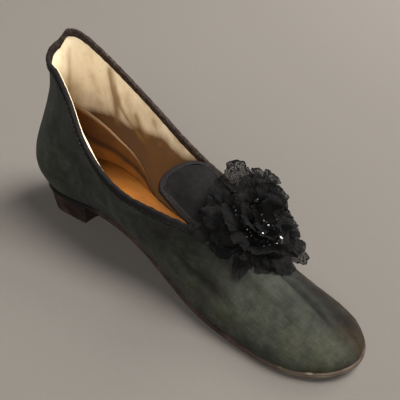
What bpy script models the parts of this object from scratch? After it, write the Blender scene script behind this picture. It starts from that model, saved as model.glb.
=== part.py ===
"""A woman's satin house slipper with a net rosette, for the left foot.

The slipper stands on z = 0, toe to +x and the wearer's left to +y.  Sizes are in millimetres
and become metres when a mesh is made.  The length runs from the back of the heel curve (0) to
the tip of the toe, and the whole shoe is moved over the origin at the end.
"""

import bpy
import numpy as np

# Overall sizes
CROWN_LEAN = -0.22      # lean of the forepart's crown over the big toe, per height
LEAN_START = 148.0      # where along the length that lean begins
LEAN_FULL = 192.0       # where it is complete
GAP = 0.3               # air between pieces that meet
METRE = 0.001

# Walls and layers
UPPER_WALL = 1.6
SOLE_THICK = 3.0
SOLE_MARGIN = 0.9       # how far the sole shows outside the upper
INSOLE_THICK = 1.6
INSOLE_CLEAR = 0.4      # air between the insole and the inside of the upper
INSOLE_EDGE = ((0.0, 0.0), (0.0, 0.7), (0.5, 1.0))     # inset, part of its thickness
TONGUE_THICK = 1.4
BINDING_THICK = 0.6
BINDING_DEPTH = 3.8     # how far the binding reaches down from the rim
BINDING_ROUND = 0.2     # how far its top face reaches beyond the upper's wall
BINDING_END = 0.85      # where it ends in the last strip before the throat
BINDING_SHORT = 0.2     # how much shorter its legs are than the strip they cover

# Number of strips in each direction
QUARTER_STRIPS = 27
VAMP_STRIPS = 19
WALL_ROWS = 9
CROWN_ROWS = 6
SOLE_RUNGS = 4
TONGUE_STRIPS = 12

# Underside of the sole along the length: x, z
SOLE_LIFT = np.array([
    (0.0, 12.6),
    (58.0, 12.6),
    (74.0, 10.4),
    (92.0, 6.6),
    (112.0, 3.0),
    (132.0, 0.8),
    (150.0, 0.0),
    (206.0, 0.0),
    (222.0, 0.7),
    (234.0, 1.9),
    (250.0, 4.6),
])

# Middle line of the last, which curves to the wearer's right towards the toe: x, y
SWING = np.array([
    (0.0, 0.0),
    (95.0, 0.0),
    (120.0, -0.6),
    (145.0, -2.0),
    (170.0, -3.6),
    (200.0, -4.9),
    (225.0, -6.6),
    (250.0, -8.3),
])

# Sections of the quarter from the back seam forward, one row each:
# foot_x, foot_half    where the wall stands on the sole, along and out from the middle
# top_x, top_half, top_z    the rim of the collar
# low_out, low_rise    pull of the curve above the sole, outward and upward
# high_out, high_drop    pull of the curve under the rim, outward and downward
# left_up    how much higher the rim stands on the left than on the right, halved
QUARTER = np.array([
    (5.0, 0.0, 9.6, 0.0, 100.8, 17.0, 25.0, -9.5, 34.0, 0.0),
    (8.6, 12.8, 12.0, 8.0, 102.0, 18.8, 25.5, -7.5, 33.0, 5.5),
    (18.2, 21.0, 20.0, 13.6, 99.5, 19.2, 25.5, -4.0, 30.0, 6.0),
    (33.0, 24.2, 35.0, 18.5, 94.0, 16.0, 22.0, 0.5, 28.0, 1.5),
    (51.0, 22.6, 52.0, 23.2, 82.5, 10.8, 18.0, 2.5, 24.0, 0.0),
    (70.0, 19.0, 70.0, 28.4, 66.5, 8.5, 15.0, 2.5, 18.0, 1.0),
    (90.0, 17.2, 90.0, 30.6, 53.5, 8.5, 12.0, 1.5, 13.0, 1.0),
    (110.0, 18.4, 110.0, 30.6, 46.6, 8.5, 12.0, 2.0, 11.0, -0.5),
    (132.0, 22.2, 133.0, 26.0, 44.3, 7.0, 14.0, 4.0, 12.0, -0.5),
])

# Sections of the vamp from the throat to the toe, one row each:
# foot_x, foot_half, crown_x, crown_z, low_out, low_rise, high_out, high_drop
VAMP = np.array([
    (156.0, 27.0, 156.5, 49.0, 4.5, 26.0, 18.5, 0.0),
    (171.0, 29.0, 169.0, 41.4, 2.8, 15.0, 16.5, 0.5),
    (186.0, 29.6, 181.5, 33.6, 2.2, 10.5, 14.0, 1.0),
    (200.0, 29.3, 192.0, 28.0, 2.0, 8.6, 12.5, 1.4),
    (213.5, 27.8, 201.0, 24.4, 2.0, 8.2, 12.0, 1.7),
    (225.5, 24.2, 208.0, 22.4, 2.2, 8.2, 12.0, 1.9),
    (235.5, 17.8, 213.0, 21.2, 2.4, 8.2, 12.0, 2.0),
    (242.0, 9.8, 216.0, 20.6, 2.4, 8.2, 12.0, 2.1),
    (244.6, 0.0, 217.0, 20.4, 2.4, 8.2, 12.0, 2.2),
])
THROAT_SPLIT = 0.61     # where the throat corner lies on the first vamp section

# Free part of the tongue from the throat to the tip: x, half_width, z_middle, edge_drop
TONGUE = np.array([
    (149.5, 18.0, 49.4, 7.2),
    (141.0, 18.4, 52.2, 7.0),
    (133.0, 18.9, 54.7, 6.6),
    (126.0, 19.2, 56.8, 6.0),
    (119.5, 19.0, 58.6, 5.2),
])
TONGUE_CORNER = 6.5     # rounding of the tongue's two corners
TONGUE_TUCK = (0.62, 0.34, 0.08)    # how far into the vamp's sections its base reaches

# Edge of the sole from the floor side up: inset, part of the thickness
SOLE_EDGE = np.array([(1.1, 0.0), (0.2, 0.3), (0.0, 0.62), (0.5, 1.0)])

# Heel
HEEL_BACK = 9.6         # back edge on the floor
HEEL_BREAST = 53.8      # front edge on the floor
HEEL_HALF = 22.6        # half width on the floor
HEEL_SEAT_INSET = 0.9   # inset under the sole
HEEL_NARROW = 0.92      # half width at the breast, of the half width on the floor
HEEL_RAKE = 1.5         # how far the breast leans forward up to the seat
HEEL_BREAST_CURVE = 2.5
HEEL_POINTS = 15        # points along each side
HEEL_BREAST_STRIPS = 3  # strips from each corner of the breast to its middle
HEEL_LIFTS = 3
HEEL_GROOVE = 0.25      # depth of the joint between two lifts
HEEL_JOINT = 0.03       # half width of that joint, of the heel's height

# Rosette
ROSETTE_X = 169.5
ROSETTE_Y = 7.0
ROSETTE_RADIUS = 25.0
ROSETTE_LOBES = 15      # petals of the outer tier
ROSETTE_INNER = 10      # petals of the inner tier
ROSETTE_TURN = 0.7      # turn of the inner tier against the outer one
ROSETTE_NOTCH = 0.11    # depth of the notch between two petals, of the radius
ROSETTE_OVAL = 0.04     # lengthening of the rosette across one direction
ROSETTE_SPAN = 8.0      # half length over which the vamp's slope under it is taken
ROSETTE_STRIPS = 75
ROSETTE_SEAT = 0.36     # part of the radius that lies on the vamp
ROSETTE_FLARE = 0.95    # how far the rim lifts from the vamp towards a flat disc
# Rings of the rosette from the centre out and then back underneath:
# part of the radius, height, depth of the outer pleats, depth of the inner pleats
ROSETTE_TOP = (
    (0.00, 11.0, 0.0, 0.0),
    (0.18, 12.0, 0.0, 0.6),
    (0.38, 14.0, 0.0, 1.6),
    (0.58, 14.5, 0.3, 2.4),
    (0.66, 9.0, 1.2, 1.2),
    (0.82, 7.2, 1.6, 0.0),
    (1.00, 5.6, 2.0, 0.0),
)
ROSETTE_UNDER = (1.00, 0.84, 0.68, 0.52, 0.36, 0.20, 0.00)

COLOURS = {
    "outsole": ((0.155, 0.090, 0.050), 0.62),
    "heel": ((0.055, 0.026, 0.015), 0.50),
    "insole": ((0.380, 0.190, 0.075), 0.58),
    "upper": ((0.022, 0.023, 0.021), 0.48),
    "tongue": ((0.022, 0.023, 0.021), 0.48),
    "collar_binding": ((0.052, 0.038, 0.046), 0.55),
    "rosette": ((0.012, 0.012, 0.013), 0.70),
}


def eased(knots, values, at):
    """Smooth curve through the knots that never passes beyond two neighbouring values."""
    step = np.diff(knots)
    rate = np.diff(values) / step
    slope = np.zeros(len(knots))
    same = rate[:-1] * rate[1:] > 0.0
    slope[1:-1][same] = 2.0 / (1.0 / rate[:-1][same] + 1.0 / rate[1:][same])
    slope[0] = rate[0]
    slope[-1] = rate[-1]
    at = np.asarray(at, float)
    cell = np.clip(np.searchsorted(knots, at) - 1, 0, len(knots) - 2)
    width = step[cell]
    part = (at - knots[cell]) / width
    rest = 1.0 - part
    return (
        values[cell] * (1.0 + 2.0 * part) * rest ** 2
        + slope[cell] * width * part * rest ** 2
        + values[cell + 1] * part ** 2 * (3.0 - 2.0 * part)
        - slope[cell + 1] * width * part ** 2 * rest
    )


def sole_under(along):
    """Height of the sole's underside at a place along the length."""
    return eased(SOLE_LIFT[:, 0], SOLE_LIFT[:, 1], along)


def swung(points):
    """Curve the forepart to one side towards the toe, and lean its crown the same way."""
    out = np.array(points, float)
    out[..., 1] += eased(SWING[:, 0], SWING[:, 1], out[..., 0])
    along = np.clip((out[..., 0] - LEAN_START) / (LEAN_FULL - LEAN_START), 0.0, 1.0)
    lean = CROWN_LEAN * along ** 2 * (3.0 - 2.0 * along)
    high = out[..., 2] - sole_under(out[..., 0]) - SOLE_THICK
    out[..., 1] += lean * np.clip(high, 0.0, None)
    return out


def mirrored(points):
    return points * np.array([1.0, -1.0, 1.0])


def foot_table():
    """Plan points where the wall stands on the sole, back seam to toe, left side."""
    return np.vstack([QUARTER[:, :2], VAMP[:, :2]])


def plan_normals():
    """Outward direction in plan at each row of the foot table."""
    foot = foot_table()
    flip = np.array([1.0, -1.0])
    longer = np.vstack([foot[1] * flip, foot, foot[-2] * flip])
    run = longer[2:] - longer[:-2]
    out = np.stack([-run[:, 1], run[:, 0]], axis=1)
    return out / np.linalg.norm(out, axis=1)[:, None]


def section_controls(side):
    """Four control points for each wall section, and two more for the crown of the vamp.

    side is +1 for the left wall and -1 for the right one.  Rows of the vamp are cut at
    THROAT_SPLIT, so that the walls of quarter and vamp run on as one table.
    """
    foot = foot_table()
    out = plan_normals()
    total = len(foot)
    first = len(QUARTER)
    base = np.zeros((total, 3))
    base[:, :2] = foot
    base[:, 2] = sole_under(foot[:, 0]) + SOLE_THICK + GAP
    push = np.zeros((total, 3))
    push[:, :2] = out
    up = np.array([0.0, 0.0, 1.0])
    shape = np.vstack([QUARTER[:, 5:9], VAMP[:, 4:8]])
    top = np.zeros((total, 3))
    top[:first] = QUARTER[:, 2:5]
    top[:first, 2] += side * QUARTER[:, 9]
    top[first:, 0] = VAMP[:, 2]
    top[first:, 2] = VAMP[:, 3]
    low = base + push * shape[:, 0:1] + up * shape[:, 1:2]
    high = top + push * shape[:, 2:3] - up * shape[:, 3:4]
    wall = np.stack([base, low, high, top], axis=1)
    crown = np.stack([high[first:], top[first:]], axis=1)
    cut = THROAT_SPLIT
    a, b, c, d = (wall[first:, i] for i in range(4))
    ab = a + (b - a) * cut
    bc = b + (c - b) * cut
    cd = c + (d - c) * cut
    abc = ab + (bc - ab) * cut
    bcd = bc + (cd - bc) * cut
    mid = abc + (bcd - abc) * cut
    wall[first:] = np.stack([a, ab, abc, mid], axis=1)
    crown[:, 0] = cd
    return wall, crown


def between_rows(table, place, start_mirrored):
    """Smooth values of a table of control points at fractional rows."""
    before = mirrored(table[1]) if start_mirrored else 2.0 * table[0] - table[1]
    after = mirrored(table[-2])
    longer = np.concatenate([before[None], table, after[None]])
    slope = (longer[2:] - longer[:-2]) / 2.0
    place = np.clip(np.asarray(place, float), 0.0, len(table) - 1.0)
    cell = np.minimum(place.astype(int), len(table) - 2)
    part = (place - cell).reshape((-1,) + (1,) * (table.ndim - 1))
    rest = 1.0 - part
    return (
        table[cell] * (1.0 + 2.0 * part) * rest ** 2
        + slope[cell] * part * rest ** 2
        + table[cell + 1] * part ** 2 * (3.0 - 2.0 * part)
        - slope[cell + 1] * part ** 2 * rest
    )


def cubic(controls, part):
    """Points of the cubic curves with these control points, shape (curves, parts, 3)."""
    part = np.asarray(part, float)
    if part.ndim == 1:
        part = np.broadcast_to(part, (len(controls), len(part)))
    rest = 1.0 - part
    weight = np.stack(
        [rest ** 3, 3.0 * part * rest ** 2, 3.0 * part ** 2 * rest, part ** 3], axis=2)
    return np.einsum("cpk,ckd->cpd", weight, controls)


def at_lengths(controls, marks):
    """Points at set lengths along each curve; marks(total) gives the lengths."""
    fine = np.linspace(0.0, 1.0, 121)
    dense = cubic(controls, fine)
    step = np.linalg.norm(np.diff(dense, axis=1), axis=2)
    run = np.concatenate([np.zeros((len(dense), 1)), np.cumsum(step, axis=1)], axis=1)
    parts = [np.interp(marks(row[-1]), row, fine) for row in run]
    return cubic(controls, np.array(parts))


def wall_marks(total):
    """Even lengths up a wall, with the last strip as deep as the binding."""
    return np.append(np.linspace(0.0, total - BINDING_DEPTH, WALL_ROWS), total)


def crown_marks(total):
    return np.linspace(0.0, total, CROWN_ROWS + 1)


def stations():
    """Rows of the foot table at even steps, quarter first and then vamp."""
    fine = np.linspace(0.0, len(foot_table()) - 1.0, 1201)
    wall, _ = section_controls(1)
    foot = between_rows(wall, fine, True)[:, 0]
    run = np.append(0.0, np.cumsum(np.linalg.norm(np.diff(foot, axis=0), axis=1)))
    throat = np.interp(len(QUARTER), fine, run)
    back = np.interp(np.linspace(0.0, throat, QUARTER_STRIPS + 1), run, fine)
    front = np.interp(np.linspace(throat, run[-1], VAMP_STRIPS + 1), run, fine)
    back[-1] = len(QUARTER)
    front[0] = len(QUARTER)
    return back, front


def wall_controls(place, side):
    """Wall curves at fractional rows, each standing just clear of the sole."""
    wall, _ = section_controls(side)
    curves = between_rows(wall, place, True)
    rise = sole_under(curves[:, 0, 0]) + SOLE_THICK + GAP - curves[:, 0, 2]
    curves[:, :2, 2] += rise[:, None]
    return curves


def crown_controls(place, side):
    """Curves from the top of the vamp's wall to the crown line."""
    wall = wall_controls(place, side)
    _, crown = section_controls(side)
    upper = between_rows(crown, np.asarray(place) - len(QUARTER), False)
    lead = wall[:, 3] + (wall[:, 3] - wall[:, 2]) * (1.0 - THROAT_SPLIT) / THROAT_SPLIT
    return np.stack([wall[:, 3], lead, upper[:, 0], upper[:, 1]], axis=1)


def placed(points, side):
    """Points of the left side, or their mirror image, leaned with the forepart."""
    out = points if side > 0 else mirrored(points)
    return swung(out)


def grid_faces(columns, rows, start, flip):
    """Four-sided faces of a grid whose points run row by row in each column."""
    col, row = np.meshgrid(np.arange(columns - 1), np.arange(rows - 1), indexing="ij")
    a = (start + col * rows + row).ravel()
    quad = np.stack([a, a + rows, a + rows + 1, a + 1], axis=1)
    return quad[:, ::-1] if flip else quad


def welded(points, faces):
    """Join points that fall together and drop the corners that vanish."""
    _, first, same = np.unique(
        np.round(points, 4), axis=0, return_index=True, return_inverse=True)
    same = same.ravel()
    kept = []
    for face in faces:
        ring = [int(same[i]) for i in face]
        ring = [v for i, v in enumerate(ring) if v != ring[i - 1]]
        if len(ring) > 2:
            kept.append(ring)
    return points[first], kept


def corner_normals(points, faces):
    """Mean outward direction at each point of a skin."""
    out = np.zeros_like(points)
    for face in faces:
        ring = points[face]
        area = np.zeros(3)
        for i in range(1, len(face) - 1):
            area += np.cross(ring[i] - ring[0], ring[i + 1] - ring[0])
        out[face] += area
    return out / np.linalg.norm(out, axis=1)[:, None]


def open_edges(faces):
    """Directed edges that belong to one face only."""
    edges = {}
    for face in faces:
        for i, start in enumerate(face):
            edges[(start, face[(i + 1) % len(face)])] = True
    return [edge for edge in edges if (edge[1], edge[0]) not in edges]


def thickened(points, faces, wall, level=None):
    """Closed solid from an outer skin and its copy set in by the wall."""
    normal = corner_normals(points, faces)
    if level is not None:
        normal[level, 2] = 0.0
        normal[level] /= np.linalg.norm(normal[level], axis=1)[:, None]
    count = len(points)
    solid = [list(face) for face in faces]
    solid += [[v + count for v in reversed(face)] for face in faces]
    solid += [[b, a, a + count, b + count] for a, b in open_edges(faces)]
    return np.vstack([points, points - normal * wall]), solid


def upper_skin():
    """Outer skin of the upper: both walls and the crown of the vamp."""
    back, front = stations()
    points = []
    faces = []
    start = 0
    for side in (-1, 1):
        flip = side > 0
        place = np.append(back, front[1:])
        wall = placed(at_lengths(wall_controls(place, side), wall_marks), side)
        crown = placed(at_lengths(crown_controls(front, side), crown_marks), side)
        for part in (wall, crown):
            points.append(part.reshape(-1, 3))
            faces.append(grid_faces(part.shape[0], part.shape[1], start, flip))
            start += part.shape[0] * part.shape[1]
    return welded(np.vstack(points), np.vstack(faces))


def make_upper():
    points, faces = upper_skin()
    foot = np.abs(points[:, 2] - sole_under(points[:, 0]) - SOLE_THICK - GAP) < 0.01
    return thickened(points, faces, UPPER_WALL, foot)


def foot_outline(inset):
    """Left half of the foot line at the upper's stations, moved in by inset."""
    back, front = stations()
    place = np.append(back, front[1:])
    foot = wall_controls(place, 1)[:, 0, :2]
    flip = np.array([1.0, -1.0])
    longer = np.vstack([foot[1] * flip, foot, foot[-2] * flip])
    run = longer[2:] - longer[:-2]
    out = np.stack([-run[:, 1], run[:, 0]], axis=1)
    out /= np.linalg.norm(out, axis=1)[:, None]
    edge = foot - out * inset
    edge[[0, -1], 1] = 0.0
    return edge


def slab(levels, height):
    """Plate between two outlines; levels gives (inset, part) pairs from below upward.

    height(x, part) is the z of the plate at a place along and a part of the thickness.
    """
    points = []
    faces = []
    start = 0
    rings = []
    for inset, part in levels:
        half = foot_outline(inset)
        ring = np.vstack([half, (half * np.array([1.0, -1.0]))[-2:0:-1]])
        rings.append(np.column_stack([ring, height(ring[:, 0], part)]))
    side = np.array(rings)
    size = side.shape[1]
    closed = np.concatenate([side, side[:, :1]], axis=1).transpose(1, 0, 2)
    points.append(closed.reshape(-1, 3))
    faces.append(grid_faces(size + 1, len(levels), start, True))
    start += closed.shape[0] * closed.shape[1]
    for (inset, part), flip in ((levels[0], False), (levels[-1], True)):
        half = foot_outline(inset)
        across = np.linspace(1.0, -1.0, SOLE_RUNGS + 1)
        rung = np.zeros((len(half), len(across), 3))
        rung[:, :, 0] = half[:, 0:1]
        rung[:, :, 1] = half[:, 1:2] * across
        rung[:, :, 2] = height(half[:, 0], part)[:, None]
        points.append(rung.reshape(-1, 3))
        faces.append(grid_faces(len(half), len(across), start, flip))
        start += rung.shape[0] * rung.shape[1]
    return welded(swung(np.vstack(points)), np.vstack(faces))


def make_outsole():
    levels = [(inset - SOLE_MARGIN, part) for inset, part in SOLE_EDGE]
    return slab(levels, lambda x, part: sole_under(x) + SOLE_THICK * part)


def make_insole():
    floor = SOLE_THICK + GAP
    levels = [(UPPER_WALL + INSOLE_CLEAR + inset, part) for inset, part in INSOLE_EDGE]
    return slab(levels, lambda x, part: sole_under(x) + floor + INSOLE_THICK * part)


def even_line(line, count):
    """Points at even steps along a plan line."""
    run = np.append(0.0, np.cumsum(np.linalg.norm(np.diff(line, axis=0), axis=1)))
    at = np.linspace(0.0, run[-1], count)
    return np.column_stack([np.interp(at, run, line[:, 0]), np.interp(at, run, line[:, 1])])


def heel_ring(part):
    """Outline of the heel, part 0 on the floor and 1 under the seat."""
    seat = foot_outline(HEEL_SEAT_INSET - SOLE_MARGIN)
    front = HEEL_BREAST + HEEL_RAKE
    corner = np.interp(front, seat[:, 0], seat[:, 1])
    seat = np.vstack([seat[seat[:, 0] < HEEL_BREAST], [front, corner]])
    angle = np.linspace(0.0, np.pi / 2.0, HEEL_POINTS)
    floor = np.column_stack([
        HEEL_BACK + HEEL_HALF * (1.0 - np.cos(angle)), HEEL_HALF * np.sin(angle)])
    floor = np.vstack([floor, [HEEL_BREAST, HEEL_HALF * HEEL_NARROW]])
    low = even_line(floor, HEEL_POINTS)
    half = low + (even_line(seat, HEEL_POINTS) - low) * part
    across = np.linspace(half[-1, 1], 0.0, HEEL_BREAST_STRIPS + 1)[1:]
    front = np.column_stack([
        half[-1, 0] - HEEL_BREAST_CURVE * (1.0 - (across / half[-1, 1]) ** 2), across])
    half = np.vstack([half, front])
    return np.vstack([half, (half * np.array([1.0, -1.0]))[-2:0:-1]])


def make_heel():
    """Stacked lifts fused into one block, with a shallow joint between two lifts."""
    top = SOLE_LIFT[0, 1] - GAP
    marks = []
    for lift in range(HEEL_LIFTS):
        low = lift / HEEL_LIFTS
        high = (lift + 1) / HEEL_LIFTS
        marks += [
            (low, HEEL_GROOVE if lift else 0.0),
            (low + HEEL_JOINT, 0.0),
            (high - HEEL_JOINT, 0.0),
        ]
    marks.append((1.0, 0.0))
    rings = []
    for part, groove in marks:
        ring = heel_ring(part)
        middle = ring.mean(axis=0)
        reach = np.linalg.norm(ring - middle, axis=1)[:, None]
        ring = middle + (ring - middle) * (1.0 - groove / reach)
        rings.append(np.column_stack([ring, np.full(len(ring), top * part)]))
    side = np.array(rings)
    size = side.shape[1]
    closed = np.concatenate([side, side[:, :1]], axis=1).transpose(1, 0, 2)
    faces = [list(f) for f in grid_faces(size + 1, len(marks), 0, True)]
    points = closed.reshape(-1, 3)
    rows = len(marks)
    floor = [i * rows for i in range(size)]
    seat = [i * rows + rows - 1 for i in range(size)]
    centre = len(points)
    middles = [[side[0, :, 0].mean(), 0.0, 0.0], [side[-1, :, 0].mean(), 0.0, top]]
    points = np.vstack([points, middles])
    for i in range(size):
        j = (i + 1) % size
        faces.append([floor[i], floor[j], centre])
        faces.append([seat[j], seat[i], centre + 1])
    return welded(swung(points), faces)


def crown_strip(place, reach):
    """Points of one vamp section from reach on the right to reach on the left of the crown."""
    across = np.linspace(-1.0, 1.0, TONGUE_STRIPS + 1)
    rows = []
    for side in (-1, 1):
        part = across[across * side > -1e-9]
        curve = crown_controls([place], side)
        wanted = np.abs(part) * reach
        found = at_lengths(curve, lambda total: np.sort(np.clip(total - wanted, 0.0, total)))[0]
        found = placed(found, side)
        rows.append(found if side < 0 else found[::-1][1:])
    return np.vstack(rows)


def make_tongue():
    """Plate tucked under the vamp at its base and lying up the instep to a rounded tip."""
    across = np.linspace(-1.0, 1.0, TONGUE_STRIPS + 1)
    sink = UPPER_WALL + GAP
    rows = []
    for tuck in TONGUE_TUCK:
        strip = crown_strip(len(QUARTER) + tuck, TONGUE[0, 1])
        ahead = crown_strip(len(QUARTER) + tuck + 0.05, TONGUE[0, 1])
        along = ahead - strip
        sideways = np.gradient(strip, axis=0)
        normal = np.cross(along, sideways)
        normal /= np.linalg.norm(normal, axis=1)[:, None]
        rows.append(strip - normal * sink)
    for index, (x, half, middle, drop) in enumerate(TONGUE):
        round_part = max(0.0, index - 1.0) / (len(TONGUE) - 2.0)
        row = np.column_stack([
            x + TONGUE_CORNER * np.abs(across) ** 5 * round_part,
            half * across,
            middle - drop * across ** 2,
        ])
        row[:, 1] += eased(SWING[:, 0], SWING[:, 1], row[:, 0])
        rows.append(row)
    sheet = np.array(rows)
    points, faces = welded(
        sheet.reshape(-1, 3), grid_faces(len(rows), len(across), 0, True))
    return thickened(points, faces, TONGUE_THICK)


def make_binding():
    """Ribbon folded over the rim of the collar, made from the upper's own wall curves."""
    back, _ = stations()
    reach = BINDING_DEPTH - BINDING_SHORT
    points, faces = upper_skin()
    normal = corner_normals(points, faces)
    lines = []
    for side in (-1, 1):
        curves = wall_controls(back, side)
        wall = at_lengths(curves, lambda total: np.array([total - reach, total]))
        wall = placed(wall, side)
        near = [np.argmin(np.linalg.norm(points - p, axis=1)) for p in wall[:, 1]]
        line = np.concatenate([wall, normal[near][:, None]], axis=1)
        line[-1] = line[-2] + (line[-1] - line[-2]) * BINDING_END
        lines.append(line)
    rim = np.concatenate([lines[0][::-1], lines[1][1:]])
    low = rim[:, 0]
    top = rim[:, 1]
    out = rim[:, 2] / np.linalg.norm(rim[:, 2], axis=1)[:, None]
    up = top - low
    up /= np.linalg.norm(up, axis=1)[:, None]
    skin = GAP + BINDING_THICK
    inside = UPPER_WALL + GAP
    lining = UPPER_WALL + skin
    sheet = np.array([
        low + out * GAP,
        low + out * skin,
        top + out * skin + up * GAP,
        top + out * BINDING_ROUND + up * skin,
        top - out * (UPPER_WALL + BINDING_ROUND) + up * skin,
        top - out * lining + up * GAP,
        low - out * lining,
        low - out * inside,
        top - out * inside + up * GAP,
        top + out * GAP + up * GAP,
    ]).transpose(1, 0, 2)
    count, size = sheet.shape[:2]
    closed = np.concatenate([sheet, sheet[:, :1]], axis=1)
    faces = [list(face) for face in grid_faces(count, size + 1, 0, False)]
    last = (count - 1) * (size + 1)
    for cap in ((0, 1, 2, 9), (9, 2, 3), (9, 3, 4, 8), (8, 4, 5), (8, 5, 6, 7)):
        faces.append([i for i in cap])
        faces.append([last + i for i in reversed(cap)])
    return welded(closed.reshape(-1, 3), faces)


def vamp_height(plan):
    """Height of the vamp's outer skin, and of its run back over the throat, at plan points."""
    place = np.linspace(len(QUARTER), len(QUARTER) + 5.0, 121)
    samples = []
    for side in (-1, 1):
        wall = placed(cubic(wall_controls(place, side), np.linspace(0.55, 1.0, 24)), side)
        crown = placed(cubic(crown_controls(place, side), np.linspace(0.0, 1.0, 60)), side)
        for grid in (wall, crown):
            along = np.gradient(grid, axis=0)
            across = np.gradient(grid, axis=1)
            normal = np.cross(along, across) * side
            samples.append(np.concatenate([grid, normal], axis=2).reshape(-1, 6))
    samples = np.vstack(samples)
    samples = samples[np.abs(samples[:, 5]) > 1e-9]
    throat = VAMP[0, 2] + 0.5
    slope = (VAMP[0, 3] - VAMP[1, 3]) / (VAMP[1, 2] - VAMP[0, 2])
    out = np.zeros((len(plan), 2))
    for i, (x, y) in enumerate(plan):
        on = max(x, throat)
        j = np.argmin((samples[:, 0] - on) ** 2 + (samples[:, 1] - y) ** 2)
        sx, sy, sz, nx, ny, nz = samples[j]
        z = sz - (nx * (on - sx) + ny * (y - sy)) / nz
        out[i, 0] = z + slope * (on - x)
        out[i, 1] = abs(nz) / np.sqrt(nx * nx + ny * ny + nz * nz)
    return out


def make_rosette():
    """Two tiers of pleats round a raised centre, fused into one block over the vamp."""
    angle = np.linspace(0.0, 2.0 * np.pi, ROSETTE_STRIPS, endpoint=False)
    outer_wave = np.cos(ROSETTE_LOBES * angle)
    inner_wave = np.cos(ROSETTE_INNER * angle + ROSETTE_TURN)
    lobe = np.abs(np.cos(ROSETTE_LOBES * angle / 2.0)) - 0.5
    rim = ROSETTE_RADIUS * (1.0 + ROSETTE_NOTCH * lobe + ROSETTE_OVAL * np.cos(2.0 * angle))
    rings = [(part, GAP + high + outer * outer_wave + inner * inner_wave)
             for part, high, outer, inner in ROSETTE_TOP]
    rings += [(part, None) for part in ROSETTE_UNDER]
    middle = swung(np.array([[ROSETTE_X, ROSETTE_Y, 0.0]]))[0, :2]
    step = np.array([ROSETTE_SPAN, 0.0])
    ahead = vamp_height(np.array([middle, middle + step, middle - step]))[:, 0]
    slope = (ahead[1] - ahead[2]) / (2.0 * ROSETTE_SPAN)
    points = []
    for part, lift in rings:
        reach = part * rim
        plan = middle + np.column_stack([reach * np.cos(angle), reach * np.sin(angle)])
        skin = vamp_height(plan)
        disc = ahead[0] + slope * (plan[:, 0] - middle[0])
        away = np.clip((part - ROSETTE_SEAT) / (1.0 - ROSETTE_SEAT), 0.0, 1.0)
        flare = ROSETTE_FLARE * away ** 2 * (3.0 - 2.0 * away)
        seat = skin[:, 0] + np.clip(disc - skin[:, 0], 0.0, None) * flare
        if lift is None:
            lift = GAP / skin[:, 1]
        points.append(np.column_stack([plan, seat + lift]))
    sheet = np.array(points)
    closed = np.concatenate([sheet, sheet[:, :1]], axis=1)
    return welded(
        closed.reshape(-1, 3), grid_faces(len(sheet), ROSETTE_STRIPS + 1, 0, False))


def volume(points, faces):
    total = 0.0
    for face in faces:
        for i in range(1, len(face) - 1):
            a, b, c = points[face[0]], points[face[i]], points[face[i + 1]]
            total += np.dot(a, np.cross(b, c)) / 6.0
    return total


def material(name):
    colour, rough = COLOURS[name]
    made = bpy.data.materials.new(name)
    made.use_nodes = True
    shader = made.node_tree.nodes["Principled BSDF"]
    shader.inputs["Base Color"].default_value = (*colour, 1.0)
    shader.inputs["Roughness"].default_value = rough
    shader.inputs["Metallic"].default_value = 0.0
    made.diffuse_color = (*colour, 1.0)
    return made


def add_piece(name, points, faces, shift):
    """One named mesh object, faces turned outward, moved over the origin."""
    if volume(points, faces) < 0.0:
        faces = [list(reversed(face)) for face in faces]
    mesh = bpy.data.meshes.new(name)
    mesh.from_pydata(((points + shift) * METRE).tolist(), [], [list(map(int, f)) for f in faces])
    mesh.validate()
    mesh.polygons.foreach_set("use_smooth", np.ones(len(mesh.polygons), dtype=bool))
    mesh.materials.append(material(name))
    piece = bpy.data.objects.new(name, mesh)
    bpy.context.scene.collection.objects.link(piece)
    return piece


def main():
    for old in list(bpy.data.objects):
        bpy.data.objects.remove(old, do_unlink=True)
    pieces = {
        "outsole": make_outsole(),
        "heel": make_heel(),
        "insole": make_insole(),
        "upper": make_upper(),
        "tongue": make_tongue(),
        "collar_binding": make_binding(),
        "rosette": make_rosette(),
    }
    every = np.vstack([points for points, _ in pieces.values()])
    low = every.min(axis=0)
    high = every.max(axis=0)
    shift = np.array([-(low[0] + high[0]) / 2.0, -(low[1] + high[1]) / 2.0, -low[2]])
    for name, (points, faces) in pieces.items():
        add_piece(name, points, faces, shift)


if __name__ == "__main__":
    main()
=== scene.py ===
"""Looks of a woman's satin house slipper with a net rosette, laid over its fixed frame.

Sizes are in millimetres in the shoe's own directions, toe to +x, the wearer's left to +y and
up to +z, with the back of the heel near x = 0.  SHIFT moves them into the frame.
"""

import bmesh
import bpy
import numpy as np
from bpy.props import FloatProperty, FloatVectorProperty, IntProperty, PointerProperty
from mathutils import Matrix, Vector


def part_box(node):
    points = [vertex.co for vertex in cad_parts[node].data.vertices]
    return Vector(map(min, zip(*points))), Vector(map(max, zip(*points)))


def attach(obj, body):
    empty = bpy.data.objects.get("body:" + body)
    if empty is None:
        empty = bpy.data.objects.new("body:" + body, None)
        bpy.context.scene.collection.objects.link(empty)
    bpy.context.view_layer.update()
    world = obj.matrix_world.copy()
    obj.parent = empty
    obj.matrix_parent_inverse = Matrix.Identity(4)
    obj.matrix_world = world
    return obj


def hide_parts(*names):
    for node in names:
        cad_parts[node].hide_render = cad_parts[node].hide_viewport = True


bl_info = {
    "name": "Satin slipper looks",
    "version": (1, 0, 0),
    "blender": (4, 5, 0),
    "location": "View3D > Sidebar > Slipper",
    "description": "Cloth, leather, net and beads of a satin slipper over its fixed frame",
    "category": "Add Mesh",
}

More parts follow.
